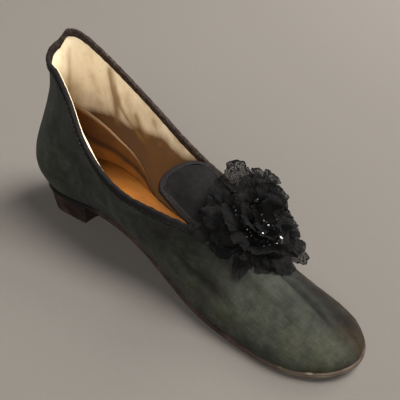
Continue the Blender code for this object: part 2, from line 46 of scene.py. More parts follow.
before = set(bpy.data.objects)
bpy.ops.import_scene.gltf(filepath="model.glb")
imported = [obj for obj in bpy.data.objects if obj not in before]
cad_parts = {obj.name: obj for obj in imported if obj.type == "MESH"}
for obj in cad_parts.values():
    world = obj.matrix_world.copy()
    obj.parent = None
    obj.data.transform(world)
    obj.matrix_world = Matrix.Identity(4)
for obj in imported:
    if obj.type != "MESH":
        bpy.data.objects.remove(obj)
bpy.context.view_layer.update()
MM = 0.001
BODY = "root"

# Underside of the sole along the length: x, z
SOLE_LIFT = np.array([
    (0, 12.6), (58, 12.6), (74, 10.4), (92, 6.6), (112, 3), (132, 0.8), (150, 0), (206, 0),
    (222, 0.7), (234, 1.9), (250, 4.6),
])
# Middle line of the last: x, y
SWING = np.array([
    (0, 0), (95, 0), (120, -0.6), (145, -2), (170, -3.6), (200, -4.9), (225, -6.6), (250, -8.3),
])
# Lean of the forepart's crown per height, and where along the length it begins and is complete
CROWN_LEAN = (-0.22, 148, 192)
# Sections of the quarter from the back seam forward: foot_x, foot_half, top_x, top_half, top_z,
# low_out, low_rise, high_out, high_drop, left_up
QUARTER = np.array([
    (5, 0, 9.6, 0, 100.8, 17, 25, -9.5, 34, 0),
    (8.6, 12.8, 12, 8, 102, 18.8, 25.5, -7.5, 33, 5.5),
    (18.2, 21, 20, 13.6, 99.5, 19.2, 25.5, -4, 30, 6),
    (33, 24.2, 35, 18.5, 94, 16, 22, 0.5, 28, 1.5),
    (51, 22.6, 52, 23.2, 82.5, 10.8, 18, 2.5, 24, 0),
    (70, 19, 70, 28.4, 66.5, 8.5, 15, 2.5, 18, 1),
    (90, 17.2, 90, 30.6, 53.5, 8.5, 12, 1.5, 13, 1),
    (110, 18.4, 110, 30.6, 46.6, 8.5, 12, 2, 11, -0.5),
    (132, 22.2, 133, 26, 44.3, 7, 14, 4, 12, -0.5),
])
# Sections of the vamp from the throat to the toe: foot_x, foot_half, crown_x, crown_z,
# low_out, low_rise, high_out, high_drop
VAMP = np.array([
    (156, 27, 156.5, 49, 4.5, 26, 18.5, 0),
    (171, 29, 169, 41.4, 2.8, 15, 16.5, 0.5),
    (186, 29.6, 181.5, 33.6, 2.2, 10.5, 14, 1),
    (200, 29.3, 192, 28, 2, 8.6, 12.5, 1.4),
    (213.5, 27.8, 201, 24.4, 2, 8.2, 12, 1.7),
    (225.5, 24.2, 208, 22.4, 2.2, 8.2, 12, 1.9),
    (235.5, 17.8, 213, 21.2, 2.4, 8.2, 12, 2),
    (242, 9.8, 216, 20.6, 2.4, 8.2, 12, 2.1),
    (244.6, 0, 217, 20.4, 2.4, 8.2, 12, 2.2),
])
THROAT_SPLIT = 0.61
# Tongue from the throat to its tip: x, half_width, z_middle, edge_drop
TONGUE = np.array([
    (149.5, 18, 49.4, 7.2), (141, 18.4, 52.2, 7), (133, 18.9, 54.7, 6.6), (126, 19.2, 56.8, 6),
    (119.5, 19, 58.6, 5.2),
])
TONGUE_CORNER = 6.5
TONGUE_TUCK = (0.62, 0.34, 0.08)

GAP = 0.3
WALL = 1.6
SOLE_THICK = 3
SOLE_MARGIN = 0.9
INSOLE_THICK = 1.6
THROAT = len(QUARTER)

# Heel: back, breast, half width, narrowing at the breast, rake, curve of the breast
HEEL = dict(back=9.6, breast=53.8, half=22.6, narrow=0.92, rake=1.5, curve=2.5)
# Share of painted shade, in the colour of blacking, towards the breast of the heel
HEEL_BREAST_SHADE = 0.6

# Rosette: its middle on the vamp, and the step to both sides over which its slope is read
ROSETTE_X = 169.5
ROSETTE_Y = 3.4
ROSETTE_STEP = 8.0

heel_low, heel_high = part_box("heel")
SHIFT = np.array([
    heel_low.x / MM - QUARTER[0, 0],
    (heel_low.y + heel_high.y) / MM / 2,
    0,
])

# Camera: place, direction of view, lens for a 36 mm sensor
CAMERA_PLACE = (356.395, -217.322, 226.019)
CAMERA_VIEW = (-0.61496, 0.60282, -0.50836)
CAMERA_LENS = 60.48

# Wide soft lamps far off: name, direction to it, breadth in degrees, strength
LIGHTS = (
    ("right_lamp", (0.46, 0.42, 1.05), 34, 5.3),
    ("left_lamp", (0.66, -0.66, 0.5), 24, 2.15),
    ("low_lamp", (0.3, -1.05, 0.24), 30, 0.75),
    ("back_lamp", (-0.95, 0.15, 0.3), 40, 0.42),
)
# Paler floor behind: place and point it faces in metres from the shoe's middle, size, power
BACKGROUND_LAMP = ((0.2, 1.05, 0.75), (0.16, 0.9, 0), 0.8, 15)
# Floor: half its side, where it begins to curve up, and its rise per squared distance from there
FLOOR_HALF = 12000
FLOOR_LEVEL = 4000
FLOOR_RISE = 0.00003
LIGHT_COLOUR = (1, 0.975, 0.94)

# Lines that both a crease and a streak of painted shade follow: near trough, crease over the toe,
# folds of the near quarter and crease on the far side of the toe
NEAR_TROUGH = (
    (136, -28.6, 33), (139.6, -28.2, 30), (149.5, -28.5, 25.2), (156, -29, 23.8),
    (166, -30.2, 23.1), (176, -31, 21.2), (187, -30.8, 18.8),
)
TOE_CREASE = (
    (183, 1.5, 28.4), (192, -0.8, 25.3), (200.4, -1.2, 22.9), (209, -2.8, 21.2),
    (217, -4.4, 19.6), (225, -6.4, 18), (237, -9.2, 15.6),
)
UPPER_FOLD = ((36, -25.5, 56), (52, -27.5, 51), (70, -29, 49), (88, -30.5, 48.5))
WAIST_FOLD = ((92, -30.5, 44), (84, -28, 32), (82, -24, 20))
FAR_CREASE = ((200, 10, 18.5), (212, 8, 17), (226, 4, 15.5))
# Creases of the satin: width, depth (a trough is negative), points of its line
SATIN_CREASES = (
    (3.8, -1.9, NEAR_TROUGH),
    (5, 1, ((144, -28.5, 35), (152.3, -28.5, 31.3), (163.6, -28.6, 29.9), (174, -28.4, 26.8),
        (185, -27.2, 23.6))),
    (1.7, -1.5, TOE_CREASE),
    (3.2, 0.8, ((194, 4.5, 23), (206, 2, 20.8), (216, 0.2, 19), (227, -2.3, 17))),
    (3.4, 0.5, ((194, -6, 25.4), (208, -8.2, 22), (220, -11, 19.5))),
    (2.6, -0.6, FAR_CREASE),
    (4, -0.9, ((170, -25, 31), (184, -22.5, 27), (198, -20, 23))),
    (4, 0.6, ((176, -17, 34), (190, -15.5, 28.5), (204, -15, 23.5))),
    (4.2, -1, UPPER_FOLD),
    (3.5, -0.8, ((60, -27.5, 46), (58, -27.8, 38), (63, -26.2, 28))),
    (3, -0.6, ((40, -26, 50), (38, -28.5, 40), (40, -29, 28))),
    (4, 0.6, ((49, -26.5, 50), (48, -28.5, 40), (52, -27.8, 28))),
    (4.5, -0.9, WAIST_FOLD),
    (5, 0.7, ((104, -30.5, 40), (98, -28, 28), (98, -24.5, 18))),
    (3, -0.5, ((8, 10, 30), (5, 0, 30), (8, -10, 30))),
    (3, -0.5, ((60, 27.5, 60), (58, 27.8, 44), (63, 26.2, 30))),
    (4, -0.9, ((34, 25.5, 68), (52, 27.5, 54), (72, 29, 46), (92, 30.3, 40))),
    (4.5, 0.7, ((40, 26.5, 58), (58, 27.8, 46), (78, 28.8, 37))),
    (3.5, -0.8, ((100, 30.5, 42), (112, 29.3, 30), (122, 27.2, 17))),
    (5, 0.7, ((126, 29, 38), (142, 28.6, 31), (160, 27.6, 26))),
    (3.2, -0.6, ((44, 28.3, 40), (46, 27, 28), (52, 24.5, 18))),
    (4.5, -0.6, ((86, 30.3, 44), (80, 28, 32), (82, 24, 20))),
    (5.5, -1.2, ((138, 27.5, 31), (156, 27, 25), (172, 25.5, 21))),
    (3.5, -0.7, ((108, -30.5, 42), (118, -29, 30), (126, -27, 18))),
)
# How far the linen stays behind the satin's edge at the throat
LINEN_TUCK = 1.9
# Creases of the linen on the inside, as above
LINEN_CREASES = (
    (2.5, -1.5, ((38.4, 17.3, 92), (38.2, 19, 79), (36.6, 21.4, 67.6), (33.5, 24.4, 56),
        (28.5, 27.4, 42))),
    (1.8, -1, ((40.5, 19.8, 80), (39, 23.2, 62), (43.2, 25.7, 54), (51, 26.3, 46),
        (60, 25.8, 40))),
    (2.2, 0.9, ((44.5, 20.5, 79), (44, 23.4, 65), (48, 25.6, 54))),
    (2.6, -1.1, ((52, 24.5, 62), (57, 25.6, 52), (63, 26.3, 44))),
    (2.6, 0.8, ((62, 26, 62), (66, 26.5, 52), (72, 26.6, 44))),
    (2.2, -0.8, ((67, 26.5, 62), (68, 26.8, 52), (73, 27.2, 42))),
    (3, 0.7, ((20, 13.5, 92), (17, 17, 75), (15, 21, 55))),
    (1.4, -0.5, ((14, 6.6, 101), (13.2, 5.4, 86.4), (10.9, 5.4, 72.7), (9.5, 5.4, 60))),
    (2.6, -0.8, ((40, -19.5, 80), (39, -23, 64), (38, -26.5, 46))),
    (2.6, -0.8, ((66, -26.5, 60), (70, -27, 48), (78, -26.5, 40))),
)
# Paler places on the satin, sunned cloth and painted light on the near side: x, y, z, radius,
# share
SATIN_FADES_AND_PAINTED_LIGHT = (
    (234, -20, 12, 14, 1), (222, -25, 12, 15, 0.85), (204, -27, 15, 16, 0.55),
    (208, -14, 22, 13, 0.35), (186, -31, 14, 13, 0.75), (160, -31, 14, 13, 0.85),
    (136, -28, 15, 12, 0.62), (115, -26.7, 20, 12, 0.42), (240, -11, 11, 7, 0.5),
    (30, -27, 40, 12, 0.4), (38, -29, 27, 11, 0.35), (20, -22, 30, 11, 0.3),
    (90, -30, 30, 14, 0.25), (196, -19, 24, 19, 0.55), (176, -28, 24, 17, 0.58),
    (150, -30, 27, 14, 0.42), (216, -12, 20, 13, 0.5), (24, 25, 45, 14, 0.3),
    (190, 22, 16, 14, 0.35),
)
# Brown places where the satin's face is rubbed away: x, y, z, radius, share
SATIN_RUBS = (
    (236, 1, 14, 9.5, 1), (231, 5, 14, 8, 0.95), (243, -3.2, 10.5, 6, 0.95), (240, 5, 9, 7, 1),
    (228, 12, 10.5, 7, 0.9), (219, 12.8, 12.8, 6.5, 0.95), (208.5, 13, 15, 6.5, 0.9),
    (196, 15, 17.5, 6.5, 0.75), (200, 20, 12, 6, 0.6), (236, -26, 5.5, 3.5, 0.6),
    (242.5, -14, 6, 3.5, 0.6),
)
# Painted shade on the satin in creases, folds and shaded places: width, share, points of the line
SATIN_PAINTED_SHADE = (
    (1.5, 1, TOE_CREASE),
    (2.8, 0.74, NEAR_TROUGH),
    # painted shadow in a band from the throat's near edge to the rosette
    (12.5, 0.58, ((100, -30, 34), (120, -30, 35), (138, -28.5, 36), (150, -27, 38),
        (160, -26, 36.5), (168, -25, 34), (178, -21, 31.5), (192, -8, 29))),
    # painted shade on the shaded far side of the toe
    (8.5, 0.9, ((184, 14, 25), (204, 7, 19), (216, 4, 17), (230, 2, 14.5), (244, 0, 9))),
    (3, 0.4, UPPER_FOLD),
    (3, 0.35, WAIST_FOLD),
    (2.2, 0.45, FAR_CREASE),
    # painted shade along the foot of the vamp, above the sole
    (2, 0.35, ((150, -32, 5), (200, -34.5, 5), (222, -31.5, 5.5), (236, -25, 6))),
)
# Pale chips and painted glints on the edge of the sole, and broad painted highlights along the
# toe's edge: x, y, z, radius, share
SOLE_CHIPS_AND_GLINTS = (
    (220.3, -33.2, 5, 1.1, 1), (232.6, -27.4, 4.9, 0.8, 0.9), (213, -35, 4.4, 0.6, 0.6),
    (206, -36, 4.2, 0.5, 0.5), (238.5, -21, 5.2, 0.5, 0.4), (212, -35, 3.6, 7, 0.04),
    (226, -31, 3.8, 8, 0.06), (237, -23, 4.2, 8, 0.07), (243, -13, 4.8, 7, 0.05),
)
# Top edge of the leather heel lining: share of the foot line from back seam to throat,
# share of the wall's height
HEEL_GRIP = np.array([
    (0, 0.525), (0.047, 0.51), (0.103, 0.413), (0.147, 0.33), (0.207, 0.253), (0.25, 0.222),
    (0.333, 0.203), (0.427, 0.145), (0.475, 0.085), (0.51, 0.03),
])
# Painted shadow line on the heel lining where it meets the insole, cleaner below it, in the same
# shares
GRIP_SHADOW_LINE = np.array([
    (0, 0.25), (0.083, 0.223), (0.11, 0.163), (0.153, 0.124), (0.21, 0.11), (0.283, 0.09),
    (0.353, 0.095), (0.433, 0.085), (0.51, 0.02),
])
# Tiers of the rosette from below up: reach, root, height at the root, height at the tip,
# droop at the sides, number of petals, arch of a petal, reach added over the tongue
TIERS = np.array([
    (29.5, 5, 1.6, 5, 3.4, 13, 2.6, 2),
    (26, 4, 3.4, 9.5, 2, 11, 3.6, 1.5),
    (21, 3, 5.5, 14, 0.8, 9, 4.2, 0.5),
    (15, 2, 7.5, 17, 0, 7, 4, 0),
    (9, 1, 9, 17, 0, 5, 3, 0),
])
# Longer and shorter net: reach added, its bearing and breadth; first over the near corner of the
# throat, then towards the far side
NET_REACH = ((4.5, 4.12, 0.42), (-7, 1.45, 0.5))
# Higher net behind, towards the tongue: height added, its bearing and breadth
NET_BEHIND = (9, 2.5, 0.72)
# Least height of the lowest tier over the satin; each tier above adds as much
NET_CLEAR = 0.7
# Ripple of that height: its height and lengths of its wave
NET_RIPPLE = (0.15, ((5, 6, 7),))
# Unevenness of the petals: in their places round the rosette and in their reach
PETAL_SHIFT = 0.055
PETAL_STRETCH = 0.045
# Crumple of the net: size of the push, lengths of its waves
NET_CRUMPLE = (
    (1.5, ((17, 21, 15), (-13, 18, 19))),
    (0.55, ((6.5, 8, 7), (-7.5, 6, 9))),
)
# Strings of beads on the rosette: start along, across and up, end along, across and up, bow
# sideways, bow upward, number of beads
BEAD_STRINGS = np.array([
    (-13, -12, 13, 12, -8, 11, -4, 4, 17),
    (-11, 3, 15, 14, 0, 11, 3, 4.5, 17),
    (-8, -6, 17, 13, 12, 10, -5, 3.5, 16),
    (-9, 9, 14, 10, 16, 9, 4, 3, 13),
    (-14, -4, 12, -2, 14, 12, 5, 4, 14),
    (2, -14, 11, 16, 6, 9.5, -3, 3, 15),
])
# How far beads stray from their string, and their least and largest share of the bead's radius
BEAD_STRAY = 0.4
BEAD_SIZES = (0.75, 1.2)
# Single faceted stones: x, y, z, radius
STONES = np.array([
    (189.6, 0.3, 43.2, 2.1), (186.5, 2.5, 38.9, 1.3), (185.5, -8.3, 48.5, 1.6),
    (178, -7.8, 43.9, 1.6), (171.7, 2.3, 57, 1.8), (160.8, -2.7, 59.6, 1.3),
    (167.2, -7.3, 60.7, 1.2), (172.7, -7, 46.8, 1.1), (178.9, 4, 44.7, 1.1),
    (174.9, 3.9, 50, 1.2),
])

# Directions, the two sides of the last (the wearer's right, then the left) and a full turn
UP = np.array([0.0, 0.0, 1.0])
BACKWARD = np.array([-1.0, 0.0, 0.0])
SIDES = (-1, 1)
ROUND = 2.0 * np.pi
# Even steps at which curves are measured, and the row of sections at the toe
FINE = np.linspace(0.0, 1.0, 161)
TOE = THROAT + len(VAMP) - 1.0
# Length of one band of the wave texture at scale 1
BAND_SCALE = 0.314
# Ripples: height, lengths of the waves in x, y and z, seed
SATIN_RIPPLES = (
    (0.22, ((34, 50, 60), (-21, 60, 45), (55, -40, 30)), 3),
    (0.07, ((9, 15, 30), (-7, 14, 22)), 5),
)
LINEN_RIPPLE = (0.25, ((16, 25, 70), (-11, 22, 50), (27, -30, 90)), 11)
INSOLE_RIPPLE = (0.1, ((40, 25, 90), (-23, 16, 90)), 9)
TONGUE_RIPPLE = (0.25, ((15, 30, 90), (-24, 22, 90)), 21)
# Share of a line's length over which each of its ends fades, in satin and in linen
LINE_TAPER = 0.3
LINEN_TAPER = 0.15
# Height above the foot over which creases set in, in satin and in linen; most that linen swells
SATIN_HOLD = 5.0
LINEN_HOLD = 6.0
LINEN_MOST = 0.5
# Grids: columns of the quarters and of the vamp, rows of the wall and of the crown
SATIN_GRID = (132, 96, 52, 34)
LINEN_GRID = (96, 60, 44, 20)
# Dust on the satin: least share, heights between which it grows to the full
DUST_LEAST = 0.35
DUST_HEIGHTS = (20.0, 2.0)
# Grain over the toe: where along the length it turns straight, and its number at the middle line
STRAIGHT_GRAIN = (150.0, 185.0)
GRAIN_START = 60.0
# Linen's gap to the satin's back
LINEN_GAP = 0.1
# Line over the insole below which the linen is brown, partly stain and partly painted shade:
# height, height and length of its waves, blur above and below it; browning that grows towards
# the foot: share, heights where it starts and is complete; painted shade of a deep fold
STAIN_SHADE_HEIGHT = 30.5
STAIN_SHADE_WAVES = ((1.6, 9.0), (1.2, 3.7))
STAIN_SHADE_BLUR = (7.0, 5.5)
LINEN_LOW_BROWNING = (0.38, 66.0, 26.0)
FOLD_SHADE = 0.95
# Lining's lip along the length: half its width, what is added, where and over what breadth; where
# it narrows, where it rises and where it falls
LIP_WIDTH = (0.24, 0.36, 73.0, 6.0)
LIP_NARROWS = 80.0
LIP_RISE = (20.0, 32.0)
LIP_FALL = (90.0, 78.0)
# Height of the lip over the rim per width, how far it is sunk; height of its round top, how far
# it goes down under the ribbon, and the step of its weave
LIP_HEIGHT = (1.9, 0.46)
LIP_ROUND = 0.26
LIP_BELOW = 0.4
LIP_STEP = 1.2
# Ends of the lining's lip along the length; how far lip and heel lining lie behind the wall
LIP_ENDS = (22.0, 88.0)
LINING_DEPTH = 0.85
# Heel lining: share of its height where it begins, where a painted highlight runs along its top
# edge and how far round from the back; soil at most, less where clean and under the highlight;
# shadow line's share, breadth and blur, a painted shadow where the lining meets the insole
GRIP_FOOT = 0.02
GRIP_HIGHLIGHT = (0.88, 0.97)
GRIP_BEHIND = (0.46, 0.22)
GRIP_SOIL = (0.85, 0.55, 0.55)
HIGHLIGHT_SHARE = 0.46
SHADOW_LINE_SHARE = 0.72
SHADOW_LINE_BREADTH = 0.026
SHADOW_LINE_BLUR = 0.035
# Thickness of the heel lining, the sock and the tongue
GRIP_THICK = 0.6
SOCK_THICK = 1.3
TONGUE_THICK = 1.3
# Edge of the sole from the floor side up: inset, part of the thickness
SOLE_EDGE = np.array([
    (1.5, 0), (0.85, 0.02), (0.4, 0.1), (0.12, 0.24), (0, 0.42), (0.04, 0.54), (0.3, 0.6),
    (0.34, 0.66), (0.06, 0.72), (0.04, 0.84), (0.22, 0.95), (0.7, 1),
])
SOLE_COLUMNS = 170
# Sole: groove in its edge and sewn channel underneath, as place and breadth; where blacking ends
SOLE_GROOVE = (0.63, 0.04)
SOLE_CHANNEL = (4.6, 0.7)
SOLE_INK = (78.0, 60.0)
# Sock: gap to the wall, columns, height of its edge; dents of heel and ball as depth, x, half
# length and half width; soil all over and at the back, painted shade at the sides by the walls,
# and where the back begins
INSOLE_GAP = 0.4
INSOLE_COLUMNS = 150
INSOLE_EDGE = 0.35
INSOLE_DENTS = ((0.55, 32.0, 17.0, 13.0), (0.5, 178.0, 22.0, 18.0))
SOCK_SOIL_AND_SHADE = (0.12, 0.35, 0.3)
SOCK_BACK = (58.0, 18.0)
# Joints between the heel's lifts, as parts of its height
HEEL_JOINTS = np.array([0.31, 0.5, 0.68, 0.85])
JOINT_WIDTH = 0.014
JOINT_DEPTH = 0.22
# Rounding at the floor: how far in and up to which part of the height; where painted shade darkens
# the breast
HEEL_ROUND = (0.7, 0.05)
HEEL_SHADE_SPAN = (30.0, 48.0)
# Where along the length the tongue's ribbon begins
TONGUE_BOUND = 151.0
# Where along the length the tongue comes free of the vamp
TONGUE_FREE = (150.0, 138.0)
# Ribbons: skin and gap of the collar's, how much shorter it is outside, and its waves as height,
# length and start; wall, depths, skin and gap of the tongue's; where across the collar is sunned
COLLAR_FOLD = (0.45, 0.15)
COLLAR_SHORT = 0.5
COLLAR_WAVES = ((0.14, 8.5, 0.0), (0.1, 5.3, 1.0))
TONGUE_FOLD = (1.4, 2.7, 2.7, 0.3, 0.1)
RIBBON_SUNNED = (-18.0, 12.0)
# Seams: height over the collar ribbon's edge, depth under the tongue's edge; way off the cloth
COLLAR_SEAM = (1.3, 0.68)
TONGUE_SEAM = (2.0, 0.42)
# Stitches: length, half the thread's thickness
COLLAR_THREAD = (1.7, 0.17)
TONGUE_THREAD = (1.6, 0.16)
# Worn place of the collar's ribbon, and the line of its paler stitches
RIBBON_WORN = ((36.8, 18.6, 95.6), (37.6, 18.8, 95.2))
PALE_STITCHES = ((50, -24.5, 81), (62, -27, 71), (74, -29, 62))
# Half-millimetre squares of the vamp's plan: number along and across, and their first corner
SQUARES = (240, 180)
SQUARES_FROM = (130.0, -45.0)
# Colour of the studio's even light
STUDIO_COLOUR = (1.0, 0.985, 0.96, 1.0)


def hermite(first, last, leave, arrive, part):
    """Cubic from first to last over part 0 to 1 with those slopes at its two ends."""
    rest = 1.0 - part
    return (
        first * (1.0 + 2.0 * part) * rest ** 2 + leave * part * rest ** 2
        + last * part ** 2 * (3.0 - 2.0 * part) - arrive * part ** 2 * rest)


def eased(table, at):
    """Cubic between a table's knots whose slopes are the harmonic means of both sides."""
    knots, values = table.T
    step = np.diff(knots)
    rate = np.diff(values) / step
    slope = np.concatenate([rate[:1], np.zeros(len(rate) - 1), rate[-1:]])
    same = rate[:-1] * rate[1:] > 0.0
    slope[1:-1][same] = 2.0 / (1.0 / rate[:-1][same] + 1.0 / rate[1:][same])
    at = np.asarray(at, float)
    cell = np.clip(np.searchsorted(knots, at) - 1, 0, len(knots) - 2)
    width = step[cell]
    part = (at - knots[cell]) / width
    return hermite(
        values[cell], values[cell + 1], slope[cell] * width, slope[cell + 1] * width, part)


def smooth(low, high, value):
    """0 below low, 1 above high and a cubic ease between."""
    part = np.clip((value - low) / (high - low), 0.0, 1.0)
    return part ** 2 * (3.0 - 2.0 * part)


def bell(value, middle, breadth):
    """exp(-((value - middle) / breadth)^2)."""
    return np.exp(-((value - middle) / breadth) ** 2)


def unit(vectors):
    """Vectors made one long."""
    return vectors / np.maximum(np.linalg.norm(vectors, axis=-1, keepdims=True), 1e-9)


def run_of(points):
    """Length along a line of points, or along each row of a grid, from 0 at its start."""
    step = np.linalg.norm(np.diff(points, axis=-2), axis=-1)
    return np.concatenate([np.zeros_like(step[..., :1]), np.cumsum(step, axis=-1)], axis=-1)


def at_runs(wanted, run, table):
    """Rows of a table at the wanted runs, each of its columns straight between its rows."""
    return np.column_stack([np.interp(wanted, run, column) for column in table.T])


def sole_under(along):
    """Height of the sole's underside along the length."""
    return eased(SOLE_LIFT, along)


def sole_over(along):
    """Height just clear of the sole's upper side."""
    return sole_under(along) + SOLE_THICK + GAP


def swung(points):
    """Adds the last's curve to y, and a lean to y that grows with the height over the sole."""
    out = np.array(points, float)
    out[..., 1] += eased(SWING, out[..., 0])
    amount, start, full = CROWN_LEAN
    high = out[..., 2] - sole_under(out[..., 0]) - SOLE_THICK
    out[..., 1] += amount * smooth(start, full, out[..., 0]) * np.clip(high, 0.0, None)
    return out


def mirrored(points):
    """Points with y turned over, in space or in plan."""
    return points * np.array([1.0, -1.0, 1.0])[:points.shape[-1]]


def placed(points, side):
    """Points of the left half put on one side of the last."""
    return swung(points if side > 0 else mirrored(points))


def both_ways(right, left):
    """Rows of the right side from front to back, then the left side's from the seam forward."""
    return np.concatenate([right[::-1], left[1:]])


def closed_ring(half):
    """A half outline and its mirror image as one ring."""
    return np.vstack([half, mirrored(half)[-2:0:-1]])


def rungs(half, across):
    """Straight lines across from a half outline to its mirror image, at shares of its width."""
    return np.stack(np.broadcast_arrays(half[:, :1], half[:, 1:] * across, 0.0), axis=-1)


def plan_out(line):
    """Unit directions square to a plan line that is mirrored at both ends."""
    longer = np.vstack([mirrored(line[1]), line, mirrored(line[-2])])
    run = longer[2:] - longer[:-2]
    return unit(np.stack([-run[:, 1], run[:, 0]], axis=1))


def section_controls(side):
    """Cubic control points of every wall section and of the vamp's crown, from the tables.

    A section starts at its foot, is pulled out and up above the sole, out and down under the
    rim, and ends at the rim or crown.  Vamp sections are cut in two at THROAT_SPLIT.
    """
    foot = np.vstack([QUARTER[:, :2], VAMP[:, :2]])
    base = np.column_stack([foot, sole_over(foot[:, 0])])
    push = np.column_stack([plan_out(foot), np.zeros(len(foot))])
    shape = np.vstack([QUARTER[:, 5:9], VAMP[:, 4:8]])
    top = np.zeros((len(foot), 3))
    top[:THROAT] = QUARTER[:, 2:5]
    top[:THROAT, 2] += side * QUARTER[:, 9]
    top[THROAT:, [0, 2]] = VAMP[:, 2:4]
    low = base + push * shape[:, 0:1] + UP * shape[:, 1:2]
    high = top + push * shape[:, 2:3] - UP * shape[:, 3:4]
    wall = np.stack([base, low, high, top], axis=1)
    a, b, c, d = (wall[THROAT:, i] for i in range(4))
    cut = THROAT_SPLIT
    ab, bc, cd = a + (b - a) * cut, b + (c - b) * cut, c + (d - c) * cut
    abc, bcd = ab + (bc - ab) * cut, bc + (cd - bc) * cut
    crown = np.stack([cd, d], axis=1)
    wall[THROAT:] = np.stack([a, ab, abc, abc + (bcd - abc) * cut], axis=1)
    return wall, crown


def between_rows(table, place, before, after):
    """Cubic through a table's rows at fractional rows; before and after lie beyond its ends."""
    longer = np.concatenate([before[None], table, after[None]])
    slope = (longer[2:] - longer[:-2]) / 2.0
    place = np.clip(np.asarray(place, float), 0.0, len(table) - 1.0)
    cell = np.minimum(place.astype(int), len(table) - 2)
    part = (place - cell).reshape((-1,) + (1,) * (table.ndim - 1))
    return hermite(table[cell], table[cell + 1], slope[cell], slope[cell + 1], part)


def cubic(controls, part):
    """Points of cubic curves, shape (curves, parts, 3), by the four Bernstein weights."""
    if part.ndim == 1:
        part = np.broadcast_to(part, (len(controls), len(part)))
    rest = 1.0 - part
    weight = np.stack(
        [rest ** 3, 3.0 * part * rest ** 2, 3.0 * part ** 2 * rest, part ** 3], axis=2)
    return np.einsum("cpk,ckd->cpd", weight, controls)


def at_shares(controls, shares):
    """Points at shares of each curve's own length; shares is one row, or a row per curve."""
    run = run_of(cubic(controls, FINE))
    run /= run[:, -1:]
    shares = np.broadcast_to(shares, (len(controls), np.shape(shares)[-1]))
    parts = np.array([np.interp(want, row, FINE) for want, row in zip(shares, run)])
    return cubic(controls, parts)


def wall_curves(place, side):
    """Wall curves at fractional rows, straight from the table's sections."""
    wall, _ = section_controls(side)
    return between_rows(wall, place, mirrored(wall[1]), mirrored(wall[-2]))


def wall_controls(place, side):
    """Wall curves at fractional rows, each standing just clear of the sole."""
    curves = wall_curves(place, side)
    curves[:, :2, 2] += (sole_over(curves[:, 0, 0]) - curves[:, 0, 2])[:, None]
    return curves


def crown_controls(place, side):
    """Curves from the top of the vamp's wall on to the crown line."""
    wall = wall_controls(place, side)
    _, crown = section_controls(side)
    before, after = 2.0 * crown[0] - crown[1], mirrored(crown[-2])
    upper = between_rows(crown, np.asarray(place) - THROAT, before, after)
    lead = wall[:, 3] + (wall[:, 3] - wall[:, 2]) * (1.0 - THROAT_SPLIT) / THROAT_SPLIT
    return np.stack([wall[:, 3], lead, upper[:, 0], upper[:, 1]], axis=1)


def foot_stations(start, end, count):
    """Fractional rows from start to end at even steps of the foot line, and their run."""
    fine = np.linspace(0.0, TOE, 1601)
    run = run_of(wall_curves(fine, 1)[:, 0])
    low, high = np.interp([start, end], fine, run)
    steps = np.linspace(low, high, count + 1)
    return np.interp(steps, run, fine), steps


def foot_edge(inset, count):
    """Left half of the foot line moved in by inset, from the back to the toe."""
    place, _ = foot_stations(0.0, TOE, count)
    foot = wall_controls(place, 1)[:, 0, :2]
    edge = foot - plan_out(foot) * inset
    edge[[0, -1], 1] = 0.0
    return edge


def shares_of(rows):
    """Even shares from 0 to 1."""
    return np.linspace(0.0, 1.0, rows + 1)


def quarter_grid(count, rows):
    """Outer skin of both quarters as one grid from the right throat round the back."""
    place, run = foot_stations(0.0, THROAT, count)
    right, left = (
        placed(at_shares(wall_controls(place, side), shares_of(rows)), side) for side in SIDES)
    return both_ways(right, left), both_ways(run, run)


def vamp_grid(count, rows, crown_rows):
    """Outer skin of the vamp, each column running from the right foot over to the left."""
    place, run = foot_stations(THROAT, TOE, count)
    halves = []
    for side in SIDES:
        wall = placed(at_shares(wall_controls(place, side), shares_of(rows)), side)
        crown = placed(at_shares(crown_controls(place, side), shares_of(crown_rows)), side)
        halves.append(np.concatenate([wall, crown[:, 1:]], axis=1))
    return np.concatenate([halves[0], halves[1][:, -2::-1]], axis=1), run


def grid_normals(grid, toward):
    """Unit cross products of both gradients, turned so that the grid's middle faces toward."""
    normal = unit(np.cross(np.gradient(grid, axis=0), np.gradient(grid, axis=1)))
    middle = normal[grid.shape[0] // 2, grid.shape[1] // 2]
    return normal if np.dot(middle, toward) > 0.0 else -normal


def grid_quads(columns, rows, closed=False, ring=False):
    """Corner numbers of a grid's faces; closed joins its end columns, ring its end rows."""
    col, row = np.meshgrid(
        np.arange(columns - (not closed)), np.arange(rows - (not ring)), indexing="ij")
    col_on, row_on = (col + 1) % columns, (row + 1) % rows
    corners = ((col, row), (col_on, row), (col_on, row_on), (col, row_on))
    return np.stack([c * rows + r for c, r in corners], axis=-1).reshape(-1, 4)


def ring_caps(size, step, far):
    """Faces across both end rings of a tube; a ring's corners are step apart, far to the last."""
    low = np.arange(size // 2 - 1)
    cap = np.stack([low, low + 1, size - 2 - low, size - 1 - low], axis=1) * step
    return np.vstack([cap[:, ::-1], cap + far])


def copies(quads, count, size):
    """Faces of as many copies of a shape, each of that many points."""
    return (quads + (np.arange(count) * size)[:, None, None]).reshape(-1, 4)


def welded(points, quads, values):
    """Joins points that fall together; values are carried with the first of each."""
    _, first, same = np.unique(
        np.round(points, 3), axis=0, return_index=True, return_inverse=True)
    return points[first], same.ravel()[quads], values[first]


def joined(parts):
    """Welds grids into one piece; each part is a grid, its faces and its values per point."""
    grids, faces, values = zip(*parts)
    starts = np.cumsum([0] + [grid[..., 0].size for grid in grids])
    return welded(
        np.vstack([grid.reshape(-1, 3) for grid in grids]),
        np.vstack([quads + start for quads, start in zip(faces, starts)]),
        np.vstack([value.reshape(-1, value.shape[-1]) for value in values]))


def face_areas(points, quads):
    """Area vectors of four-sided faces: half the cross product of the diagonals."""
    a, b, c, d = (points[quads[:, i]] for i in range(4))
    return np.cross(c - a, d - b) / 2.0


